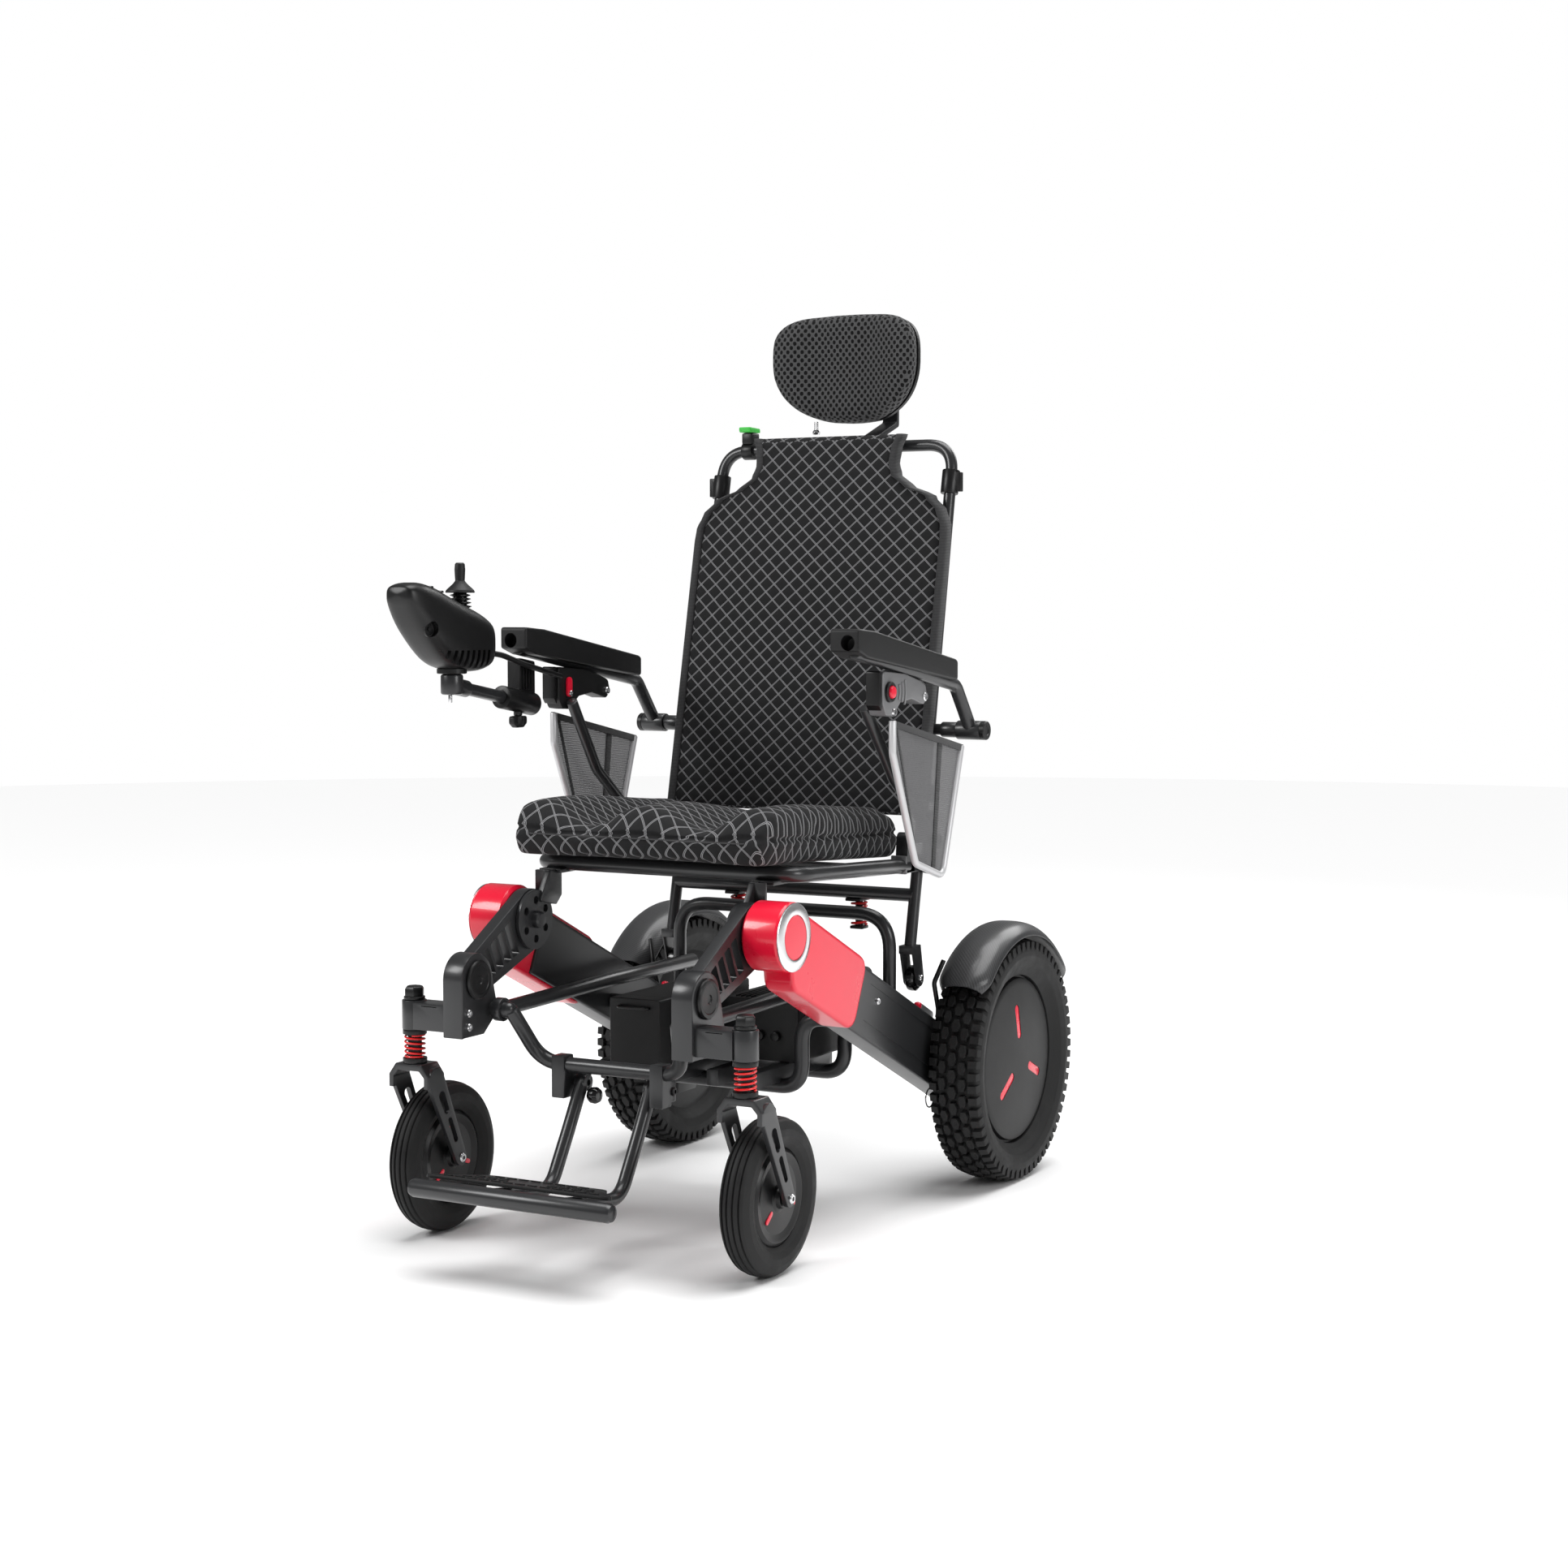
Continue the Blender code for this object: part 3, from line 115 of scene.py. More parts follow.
class Look:
    """A Principled material and short ways to feed its sockets."""

    def __init__(self, name, colour, roughness, metallic=0.0, **constant):
        self.material = bpy.data.materials.new(name)
        self.material.use_nodes = True
        self.tree = self.material.node_tree
        self.shader = self.tree.nodes["Principled BSDF"]
        self.set("Base Color", (*colour, 1.0))
        self.set("Roughness", roughness)
        self.set("Metallic", metallic)
        for socket, value in constant.items():
            self.set(socket.replace("_", " "), value)

    def set(self, socket, value):
        if isinstance(value, bpy.types.NodeSocket):
            self.tree.links.new(value, self.shader.inputs[socket])
        else:
            self.shader.inputs[socket].default_value = value

    def add(self, kind, **inputs):
        made = self.tree.nodes.new("ShaderNode" + kind)
        for name, value in inputs.items():
            key = name.replace("_", " ")
            target = made.inputs[int(name[1:])] if name[0] == "n" and name[1:].isdigit() else made.inputs[key]
            if isinstance(value, bpy.types.NodeSocket):
                self.tree.links.new(value, target)
            else:
                target.default_value = value
        return made

    def math(self, operation, first, second=0.0, third=0.0):
        made = self.add("Math", n0=first, n1=second, n2=third)
        made.operation = operation
        return made.outputs[0]

    def place(self, kind="Object"):
        return self.add("TexCoord").outputs[kind]

    def noise(self, scale, detail=3.0, vector=None, roughness=0.55):
        made = self.add("TexNoise", Scale=scale, Detail=detail, Roughness=roughness)
        self.tree.links.new(vector or self.place(), made.inputs["Vector"])
        return made.outputs["Fac"]

    def remap(self, value, low, high, to_low, to_high):
        made = self.add("MapRange", n0=value, n1=low, n2=high, n3=to_low, n4=to_high)
        return made.outputs[0]

    def mix(self, factor, first, second):
        made = self.add("Mix", n0=factor)
        made.data_type = "RGBA"
        for index, value in ((6, first), (7, second)):
            if isinstance(value, bpy.types.NodeSocket):
                self.tree.links.new(value, made.inputs[index])
            else:
                made.inputs[index].default_value = (*value, 1.0)
        return made.outputs[2]

    def planes(self, rolled=False):
        """Two coordinates in metres along whichever plane the surface faces most.

        Rolled cloth runs over the front and side edges in one piece.
        """
        place = self.add("SeparateXYZ", Vector=self.place())
        if rolled:
            across, along, height = place.outputs
            fall = self.math("MINIMUM", self.math("SUBTRACT", height, 0.526), 0.0)
            reach = self.math("ADD", self.math("ABSOLUTE", across), along)
            side = self.math("GREATER_THAN", reach, 0.3365 + SHIFT_Y)
            outward = self.math("MULTIPLY", self.math("SIGN", across), self.math("MULTIPLY", fall, side))
            forward = self.math("MULTIPLY", fall, self.math("SUBTRACT", 1.0, side))
            return self.math("SUBTRACT", across, outward), self.math("ADD", along, forward)
        facing = self.add("SeparateXYZ", Vector=self.place("Normal"))
        x, y, z = (self.math("ABSOLUTE", facing.outputs[i]) for i in range(3))
        top = self.math("GREATER_THAN", z, 0.60)
        side = self.math("MULTIPLY", self.math("GREATER_THAN", x, y), self.math("SUBTRACT", 1.0, top))
        u = self.add("Mix", n0=side, n2=place.outputs[0], n3=place.outputs[1]).outputs[0]
        v = self.add("Mix", n0=top, n2=place.outputs[2], n3=place.outputs[1]).outputs[0]
        return u, v

    def bump(self, height, distance, strength=1.0, below=None):
        made = self.add("Bump", Strength=strength, Distance=distance, Height=height)
        if below is not None:
            self.tree.links.new(below, made.inputs["Normal"])
        self.set("Normal", made.outputs["Normal"])
        return made.outputs["Normal"]


def painted(name, colour, roughness, metallic=0.0, grain=0.00003, **more):
    """Paint or moulded plastic: a fine grain and patches that are a little duller."""
    look = Look(name, colour, roughness, metallic, **more)
    patches = look.noise(14.0, 4.0)
    look.set("Roughness", look.remap(patches, 0.3, 0.7, roughness * 0.95, roughness * 1.06))
    shade = [c * 1.05 for c in colour]
    look.set("Base Color", look.mix(look.remap(patches, 0.35, 0.75, 0.0, 1.0), colour, shade))
    look.bump(look.noise(1400.0, 2.0), grain, 0.6 if grain > 0.00001 else 0.15)
    return look


def rubber(name, colour):
    look = Look(name, colour, 0.55, Specular_IOR_Level=0.35)
    dust = look.noise(38.0, 6.0, roughness=0.7)
    look.set("Base Color", look.mix(look.remap(dust, 0.42, 0.78, 0.0, 1.0), colour, (0.016, 0.016, 0.0155)))
    look.set("Roughness", look.remap(dust, 0.3, 0.8, 0.50, 0.78))
    look.bump(look.noise(520.0, 3.0), 0.00012, 0.5)
    return look


def carbon(name):
    """Twill of dark fibres under lacquer."""
    look = Look(name, (0.02, 0.02, 0.022), 0.42, 0.0, Coat_Weight=0.35, Coat_Roughness=0.18)
    place = look.add("SeparateXYZ", Vector=look.place("UV"))
    tow = 0.0013
    across = look.math("DIVIDE", place.outputs[0], tow)
    along = look.math("DIVIDE", place.outputs[1], tow)
    step = look.math("FLOOR", across)
    slide = look.math("ADD", look.math("FLOOR", along), step)
    which = look.math("LESS_THAN", look.math("MODULO", look.math("ADD", slide, 4000.0), 4.0), 2.0)
    warp = look.math("ABSOLUTE", look.math("SUBTRACT", look.math("FRACT", across), 0.5))
    weft = look.math("ABSOLUTE", look.math("SUBTRACT", look.math("FRACT", along), 0.5))
    rise = look.math(
        "ADD", look.math("MULTIPLY", which, warp),
        look.math("MULTIPLY", look.math("SUBTRACT", 1.0, which), weft)
    )
    look.set("Base Color", look.mix(which, (0.014, 0.014, 0.015), (0.034, 0.035, 0.037)))
    look.set("Roughness", look.remap(which, 0.0, 1.0, 0.34, 0.52))
    look.bump(look.math("MULTIPLY", rise, -1.0), 0.0002, 0.35)
    return look


def diamond_cloth(name, wide, tall, rolled=False):
    """Black cloth with embroidered double lines crossing in diamonds, sized in metres."""
    dark = (0.0050, 0.0050, 0.0055)
    thread = (0.46, 0.46, 0.47)
    look = Look(name, dark, 0.82, Sheen_Weight=0.03, Sheen_Roughness=0.5, Specular_IOR_Level=0.28)
    place_u, place_v = look.planes(rolled)
    u = look.math("DIVIDE", place_u, wide)
    v = look.math("DIVIDE", place_v, tall)
    wander = look.math("MULTIPLY", look.math("SUBTRACT", look.noise(60.0, 2.0), 0.5), 0.03)
    gaps = []
    for sign in ("ADD", "SUBTRACT"):
        line = look.math("ADD", look.math(sign, u, v), wander)
        gaps.append(
            look.math(
                "ABSOLUTE", look.math("SUBTRACT", look.math("FRACT", look.math("ADD", line, 200.5)), 0.5)
            )
        )
    rails = []
    for gap in gaps:
        off = look.math("ABSOLUTE", look.math("SUBTRACT", gap, 0.040))
        rails.append(look.remap(off, 0.009, 0.024, 1.0, 0.0))
    lines = look.math("MAXIMUM", rails[0], rails[1])
    either = look.math("MAXIMUM", gaps[0], gaps[1])
    knot = look.remap(either, 0.020, 0.045, 1.0, 0.0)
    lines = look.math("MULTIPLY", lines, look.remap(either, 0.040, 0.060, 0.35, 1.0))
    least = look.math("MINIMUM", gaps[0], gaps[1])
    fill = look.math("MULTIPLY", look.remap(least, 0.04, 0.06, 1.0, 0.0), 0.05)
    mask = look.math("MAXIMUM", look.math("MAXIMUM", lines, fill), look.math("MULTIPLY", knot, 0.9))
    yarn_u = look.math("SINE", look.math("MULTIPLY", place_u, 2 * math.pi / 0.0011))
    yarn_v = look.math("SINE", look.math("MULTIPLY", place_v, 2 * math.pi / 0.0011))
    weave = look.math("MULTIPLY", yarn_u, yarn_v)
    # The yarn crests are painted lighter and the dips darker: painted highlight and shade that follow the
    # weave bump.
    ground = look.mix(look.remap(weave, -1.0, 1.0, 0.0, 1.0), dark, (0.013, 0.013, 0.014))
    frayed = look.mix(look.noise(900.0, 2.0), (0.28, 0.28, 0.29), thread)
    look.set("Base Color", look.mix(mask, ground, frayed))
    puff = look.math("MINIMUM", look.math("MULTIPLY", least, 3.0), 1.0)
    first = look.bump(puff, 0.0016, 0.55)
    second = look.bump(mask, 0.0006, 0.7, first)
    look.bump(weave, 0.00018, 0.5, second)
    return look


def air_mesh(name, wide=0.0102, tall=0.0124):
    """Spacer net of staggered round holes, sized in metres."""
    look = Look(
        name, (0.05, 0.05, 0.05), 0.80, Sheen_Weight=0.06, Sheen_Roughness=0.5, Specular_IOR_Level=0.3
    )
    place_u, place_v = look.planes()
    u = look.math("DIVIDE", place_u, wide)
    v = look.math("DIVIDE", place_v, tall)
    holes = []
    for shift in (0.0, 0.5):
        du = look.math("SUBTRACT", look.math("FRACT", look.math("ADD", u, 100.5 + shift)), 0.5)
        dv = look.math("SUBTRACT", look.math("FRACT", look.math("ADD", v, 100.5 + shift)), 0.5)
        du = look.math("POWER", look.math("ABSOLUTE", du), 2.4)
        dv = look.math("POWER", look.math("ABSOLUTE", dv), 2.4)
        holes.append(look.math("ADD", du, dv))
    near = look.math("POWER", look.math("MINIMUM", holes[0], holes[1]), 1 / 2.4)
    hole = look.remap(near, 0.205, 0.255, 1.0, 0.0)
    fibre = look.noise(700.0, 3.0)
    net = look.mix(fibre, (0.040, 0.040, 0.041), (0.105, 0.105, 0.107))
    # The holes are painted near-black: painted shade down in the holes, which the bump only sinks a little.
    look.set("Base Color", look.mix(hole, net, (0.0025, 0.0025, 0.0028)))
    look.set("Roughness", look.remap(hole, 0.0, 1.0, 0.78, 1.0))
    first = look.bump(hole, 0.0022, 1.0)
    look.tree.nodes[-1].invert = True
    look.bump(fibre, 0.0003, 0.5, first)
    return look


def webbing(name, colour=(0.012, 0.012, 0.013)):
    """Ribbed binding tape; the ribs run across the UV's first axis, in metres."""
    look = Look(name, colour, 0.75, Sheen_Weight=0.15, Sheen_Roughness=0.5)
    uv = look.add("SeparateXYZ", Vector=look.place("UV"))
    rib = look.math("SINE", look.math("MULTIPLY", uv.outputs[0], 2 * math.pi / 0.0016))
    # Rib crests are painted lighter and the grooves darker: painted highlight and shade that follow the rib
    # bump.
    look.set("Base Color", look.mix(look.remap(rib, -1.0, 1.0, 0.0, 1.0), colour, (0.030, 0.030, 0.032)))
    look.bump(rib, 0.0004, 0.8)
    return look


def guard_mesh(name):
    """See-through net of fine threads."""
    look = Look(name, (0.24, 0.24, 0.25), 0.7)
    uv = look.add("SeparateXYZ", Vector=look.place("UV"))
    threads = []
    for axis, pitch in ((0, 0.0021), (1, 0.0026)):
        wave = look.math("FRACT", look.math("DIVIDE", uv.outputs[axis], pitch))
        threads.append(look.math("LESS_THAN", wave, 0.46))
    thread = look.math("MAXIMUM", threads[0], threads[1])
    look.set("Alpha", look.remap(thread, 0.0, 1.0, 0.30, 0.95))
    look.set("Base Color", look.mix(threads[0], (0.10, 0.10, 0.103), (0.20, 0.20, 0.205)))
    return look


PAINT = painted(
    "grey_paint", (0.0200, 0.0205, 0.0220), 0.34, 0.15, 0.00002, Coat_Weight=0.3, Coat_Roughness=0.20
)
LIGHT_PAINT = painted("light_grey_paint", (0.19, 0.19, 0.195), 0.40, 0.2, 0.00002)
BLACK = painted("satin_black", (0.0035, 0.0035, 0.0038), 0.36, 0.0, 0.00003, Specular_IOR_Level=0.40)
MOULDED = painted("moulded_black", (0.0060, 0.0060, 0.0064), 0.48, 0.0, 0.00010, Specular_IOR_Level=0.38)
GLOSSY = painted(
    "gloss_black", (0.0030, 0.0030, 0.0034), 0.20, 0.0, 0.00001, Coat_Weight=0.3, Coat_Roughness=0.1
)
RED = painted(
    "crimson_gloss", (0.82, 0.006, 0.036), 0.28, 0.0, 0.00001, Coat_Weight=0.5, Coat_Roughness=0.08,
    Specular_IOR_Level=0.40
)
SPRING_RED = painted(
    "spring_red", (0.80, 0.008, 0.010), 0.32, 0.0, 0.00001, Coat_Weight=0.4, Coat_Roughness=0.15
)
GREEN = painted("lever_green", (0.05, 0.55, 0.06), 0.35)
SILVER = painted("satin_silver", (0.80, 0.80, 0.81), 0.28, 0.85, 0.00001)
STEEL = painted("bolt_steel", (0.70, 0.70, 0.71), 0.22, 1.0, 0.00001)
GUARD = painted("guard_silver", (0.62, 0.62, 0.63), 0.38, 0.35, 0.00002)
SPUN = painted("spun_silver", (0.86, 0.86, 0.87), 0.26, 1.0, 0.00001, Anisotropic=0.85)
spin = SPUN.add("Tangent")
spin.direction_type = "RADIAL"
spin.axis = "X"
SPUN.set("Tangent", spin.outputs[0])
TYRE = rubber("tyre_rubber", (0.0062, 0.0062, 0.0066))
CARBON = carbon("carbon_weave")
CLOTH = diamond_cloth("diamond_cloth", 0.0253, 0.0230)
SEAT_CLOTH = diamond_cloth("seat_diamond_cloth", 0.0270, 0.0225, True)
NET = air_mesh("air_mesh")
TAPE = webbing("binding_tape")
MESH = guard_mesh("guard_net")


# ---------------------------------------------------------------- outlines


def back_y(z, ahead=0.0):
    return BACK_BASE[0] + (z - BACK_BASE[1]) * BACK_SLOPE - ahead


def arc(centre, radius, start, end, steps):
    points = []
    for i in range(steps + 1):
        a = math.radians(start + (end - start) * i / steps)
        points.append((centre[0] + radius * math.cos(a), centre[1] + radius * math.sin(a)))
    return points


def filleted(points, radius, steps=6, closed=False):
    vectors = [Vector(p) for p in points]
    count = len(vectors)
    result = []
    for i, corner in enumerate(vectors):
        if not closed and i in (0, count - 1):
            result.append(corner.copy())
            continue
        to_last = vectors[i - 1] - corner
        to_next = vectors[(i + 1) % count] - corner
        half = to_last.angle(to_next) / 2
        reach = radius / math.tan(half) if half > 1e-4 else 0.0
        reach = min(reach, 0.49 * to_last.length, 0.49 * to_next.length)
        first = corner + to_last.normalized() * reach
        last = corner + to_next.normalized() * reach
        for k in range(steps + 1):
            t = k / steps
            result.append(first * (1 - t) ** 2 + corner * 2 * t * (1 - t) + last * t * t)
    return result


def hull(points):
    ordered = sorted({(round(p[0], 6), round(p[1], 6)) for p in points})

    def half(sequence):
        chain = []
        for p in sequence:
            while len(chain) > 1 and (
                (chain[-1][0] - chain[-2][0]) * (p[1] - chain[-2][1])
                - (chain[-1][1] - chain[-2][1]) * (p[0] - chain[-2][0])
            ) <= 0:
                chain.pop()
            chain.append(p)
        return chain[:-1]

    return half(ordered) + half(reversed(ordered))


def link_outline(first, first_radius, second, second_radius, steps=32):
    circles = arc(first, first_radius, 0, 360, steps)[:-1]
    circles += arc(second, second_radius, 0, 360, steps)[:-1]
    return hull(circles)


def catmull(points, per_span):
    """A smooth line through points."""
    path = [Vector(p) for p in points]
    path = [2 * path[0] - path[1], *path, 2 * path[-1] - path[-2]]
    result = []
    for a, b, c, d in zip(path, path[1:], path[2:], path[3:]):
        for k in range(per_span):
            t = k / per_span
            smooth = 2 * b + (c - a) * t + (2 * a - 5 * b + 4 * c - d) * t * t
            result.append((smooth + (3 * b - a - 3 * c + d) * t**3) / 2)
    result.append(path[-2])
    return result


# ---------------------------------------------------------------- solids


def shape_from(bm, recalculate=True):
    if recalculate:
        bmesh.ops.recalc_face_normals(bm, faces=bm.faces)
    mesh = bpy.data.meshes.new("shape")
    bm.to_mesh(mesh)
    bm.free()
    made = bpy.data.objects.new("shape", mesh)
    bpy.context.collection.objects.link(made)
    return made


def skinned(rings, loop=False):
    """Skin rows of rings, with UVs in metres: round the ring, then along the row."""
    bm = bmesh.new()
    layer = bm.loops.layers.uv.new("UVMap")
    rows = [[bm.verts.new(p) for p in ring] for ring in rings]
    sides = len(rows[0])
    around = [0.0]
    middle = rings[len(rings) // 2]
    for i in range(sides):
        around.append(around[-1] + (Vector(middle[(i + 1) % sides]) - Vector(middle[i])).length)
    along = [0.0]
    for one, two in zip(rings, rings[1:]):
        along.append(along[-1] + (Vector(two[0]) - Vector(one[0])).length)
    pairs = list(range(len(rows) - 1))
    if loop:
        pairs.append(len(rows) - 1)
        along.append(along[-1] + (Vector(rings[0][0]) - Vector(rings[-1][0])).length)
    else:
        bm.faces.new(rows[0])
        bm.faces.new(rows[-1])
    for r in pairs:
        one, two = rows[r], rows[(r + 1) % len(rows)]
        for i in range(sides):
            j = (i + 1) % sides
            face = bm.faces.new((one[i], one[j], two[j], two[i]))
            uvs = ((i, r), (i + 1, r), (i + 1, r + 1), (i, r + 1))
            for corner, (a, b) in zip(face.loops, uvs):
                corner[layer].uv = (around[a], along[b])
    return shape_from(bm)


def tube(points, radius, bend=0.0, sides=24, steps=8, ease=0.0012):
    """A round bar along a path, with eased ends."""
    path = filleted(points, bend, steps) if bend else [Vector(p) for p in points]
    head, tail = (path[1] - path[0]).normalized(), (path[-1] - path[-2]).normalized()
    ends = [0.0, ease * 0.3, ease]
    path = [path[0] + head * e for e in ends] + path[1:-1] + [path[-1] - tail * e for e in reversed(ends)]
    radii = [radius - ease, radius - ease * 0.3, radius]
    radii = radii + [radius] * (len(path) - 6) + list(reversed(radii))
    tangents = []
    for i in range(len(path)):
        before, after = path[max(i - 1, 0)], path[min(i + 1, len(path) - 1)]
        tangents.append((after - before).normalized())
    seed = Vector((0, 0, 1)) if abs(tangents[0].z) < 0.9 else Vector((0, 1, 0))
    normal = tangents[0].cross(seed).normalized()
    rings = []
    for centre, along, r in zip(path, tangents, radii):
        normal = (normal - along * normal.dot(along)).normalized()
        side = along.cross(normal)
        rings.append(
            [
                centre + r * (math.cos(a) * normal + math.sin(a) * side)
                for a in (2 * math.pi * (k + 0.5) / sides for k in range(sides))
            ]
        )
    return skinned(rings)


def bar(start, end, radius, sides=28, ease=0.0010):
    return tube([start, end], radius, sides=sides, ease=min(ease, radius * 0.3))


def eased(shape, amount, segments=2, angle=30.0):
    """Bevel the sharp edges of a shape."""
    if amount <= 0:
        return shape
    bm = bmesh.new()
    bm.from_mesh(shape.data)
    sharp = [e for e in bm.edges if len(e.link_faces) == 2 and e.calc_face_angle(0.0) > math.radians(angle)]
    bmesh.ops.bevel(
        bm, geom=sharp, offset=amount, segments=segments, profile=0.6, affect="EDGES", clamp_overlap=True
    )
    bm.to_mesh(shape.data)
    bm.free()
    return shape


def plate(outline, low, high, axis="X", ease=0.0008, segments=2):
    place = {
        "X": lambda a, b, c: (c, a, b),
        "Y": lambda a, b, c: (a, c, b),
        "Z": lambda a, b, c: (a, b, c),
    }[axis]
    made = skinned([[place(p[0], p[1], level) for p in outline] for level in (low, high)])
    return eased(made, ease, segments)


def block(low, high, ease=0.0010, segments=2):
    outline = [(low[0], low[1]), (high[0], low[1]), (high[0], high[1]), (low[0], high[1])]
    return plate(outline, low[2], high[2], "Z", ease, segments)


def span(side, a, b):
    """Low and high X of a piece on one side."""
    return sorted((side * a, side * b))


def sided_block(side, x0, x1, low, high, ease=0.0010):
    a, b = span(side, x0, x1)
    return block((a, *low), (b, *high), ease)


def turned(profile, centre, axis="X", steps=56, side=1, soft=0.0):
    """A solid of revolution; soft rounds the profile's inner corners."""
    if soft:
        profile = [tuple(p) for p in filleted(profile, soft, 3)]
    bm = bmesh.new()
    layer = bm.loops.layers.uv.new("UVMap")
    hollow = all(r > 1e-9 for r, _ in profile)
    rows = []
    for radius, offset in profile:
        row = []
        for k in range(steps if radius > 1e-9 else 1):
            a = 2 * math.pi * k / steps
            u, v = radius * math.cos(a), radius * math.sin(a)
            local = {"X": (side * offset, u, v), "Z": (u, v, offset), "Y": (u, offset, v)}[axis]
            row.append(bm.verts.new(Vector(centre) + Vector(local)))
        rows.append(row)
    pairs = list(range(len(rows) - 1)) + ([len(rows) - 1] if hollow else [])
    length = [0.0]
    for (r0, o0), (r1, o1) in zip(profile, profile[1:] + profile[:1]):
        length.append(length[-1] + math.hypot(r1 - r0, o1 - o0))
    widest = max(r for r, _ in profile)
    for p in pairs:
        one, two = rows[p], rows[(p + 1) % len(rows)]
        for k in range(steps):
            j = (k + 1) % steps
            ring = [one[k % len(one)], one[j % len(one)], two[j % len(two)], two[k % len(two)]]
            face = bm.faces.new(list(dict.fromkeys(ring)))
            for corner in face.loops:
                turn = k if corner.vert in (ring[0], ring[3]) else k + 1
                down = p if corner.vert in (ring[0], ring[1]) else p + 1
                corner[layer].uv = (turn * 2 * math.pi * widest / steps, length[down])
    return shape_from(bm)


def combined(operation, first, others):
    for other in others:
        modifier = first.modifiers.new("join", "BOOLEAN")
        modifier.operation = operation
        modifier.solver = "EXACT"
        modifier.object = other
    bpy.context.view_layer.update()
    graph = bpy.context.evaluated_depsgraph_get()
    mesh = bpy.data.meshes.new_from_object(first.evaluated_get(graph))
    for used in (first, *others):
        bpy.data.objects.remove(used)
    made = bpy.data.objects.new("shape", mesh)
    bpy.context.collection.objects.link(made)
    return made


def union(first, *others):
    return combined("UNION", first, others)


def cut(first, *others):
    return combined("DIFFERENCE", first, others)


def group(*shapes):
    """Several solids as one object, left as they are."""
    bm = bmesh.new()
    for shape in shapes:
        bm.from_mesh(shape.data)
        bpy.data.objects.remove(shape)
    return shape_from(bm, False)


def moved(shape, *matrices):
    for matrix in matrices:
        shape.data.transform(matrix)
    return shape


def finished(name, shape, look, body, replaces=(), angle=32.0):
    """Put a shape in the row's frame, give it its look and let it ride on its body."""
    mesh = shape.data
    mesh.transform(Matrix.Translation((0, SHIFT_Y, 0)))
    mesh.materials.clear()
    mesh.materials.append(look.material)
    mesh.shade_smooth()
    if angle:
        mesh.set_sharp_from_angle(angle=math.radians(angle))
    mesh.name = name
    shape.name = name
    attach(shape, body)
    if replaces:
        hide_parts(*replaces)
    return shape


def cap_bolt(centre, axis, side, radius, height):
    """Socket-head bolt: a domed head with a six-sided recess, along +-axis."""
    head = turned(
        [(0, -0.001), (radius, -0.001), (radius, height * 0.6), (radius * 0.8, height), (0, height)],
        (0, 0, 0),
        "Z",
        20,
    )
    socket = turned(
        [
            (0, height * 0.35), (radius * 0.5, height * 0.35), (radius * 0.5, height + 0.002),
            (0, height + 0.002)
        ],
        (0, 0, 0), "Z", 6
    )
    made = cut(head, socket)
    turn = {
        "X": Matrix.Rotation(side * math.pi / 2, 4, "Y"), "Y": Matrix.Rotation(-side * math.pi / 2, 4, "X")
    }
    if axis == "Z":
        turn["Z"] = Matrix.Identity(4) if side > 0 else Matrix.Rotation(math.pi, 4, "X")
    return moved(made, turn[axis], Matrix.Translation(centre))


def helix(centre, radius, wire, low, high, turns, side=1):
    """A coil spring with flattened end turns."""
    points = []
    steps = int(turns * 20)
    for i in range(steps + 1):
        t = i / steps
        rise = min(max((t - 0.08) / 0.84, 0.0), 1.0)
        a = side * 2 * math.pi * turns * t
        z = low + wire + (high - low - 2 * wire) * rise
        points.append((centre[0] + radius * math.cos(a), centre[1] + radius * math.sin(a), z))
    return tube(points, wire, sides=10, ease=wire * 0.4)


# ---------------------------------------------------------------- chassis


def beam_point(along, up):
    c, s = math.cos(BEAM_PITCH), math.sin(BEAM_PITCH)
    return (BEAM_START[0] + along * c + up * s, BEAM_START[1] - along * s + up * c)


def beam_outline(start, end, half):
    return [beam_point(start, -half), beam_point(end, -half), beam_point(end, half), beam_point(start, half)]


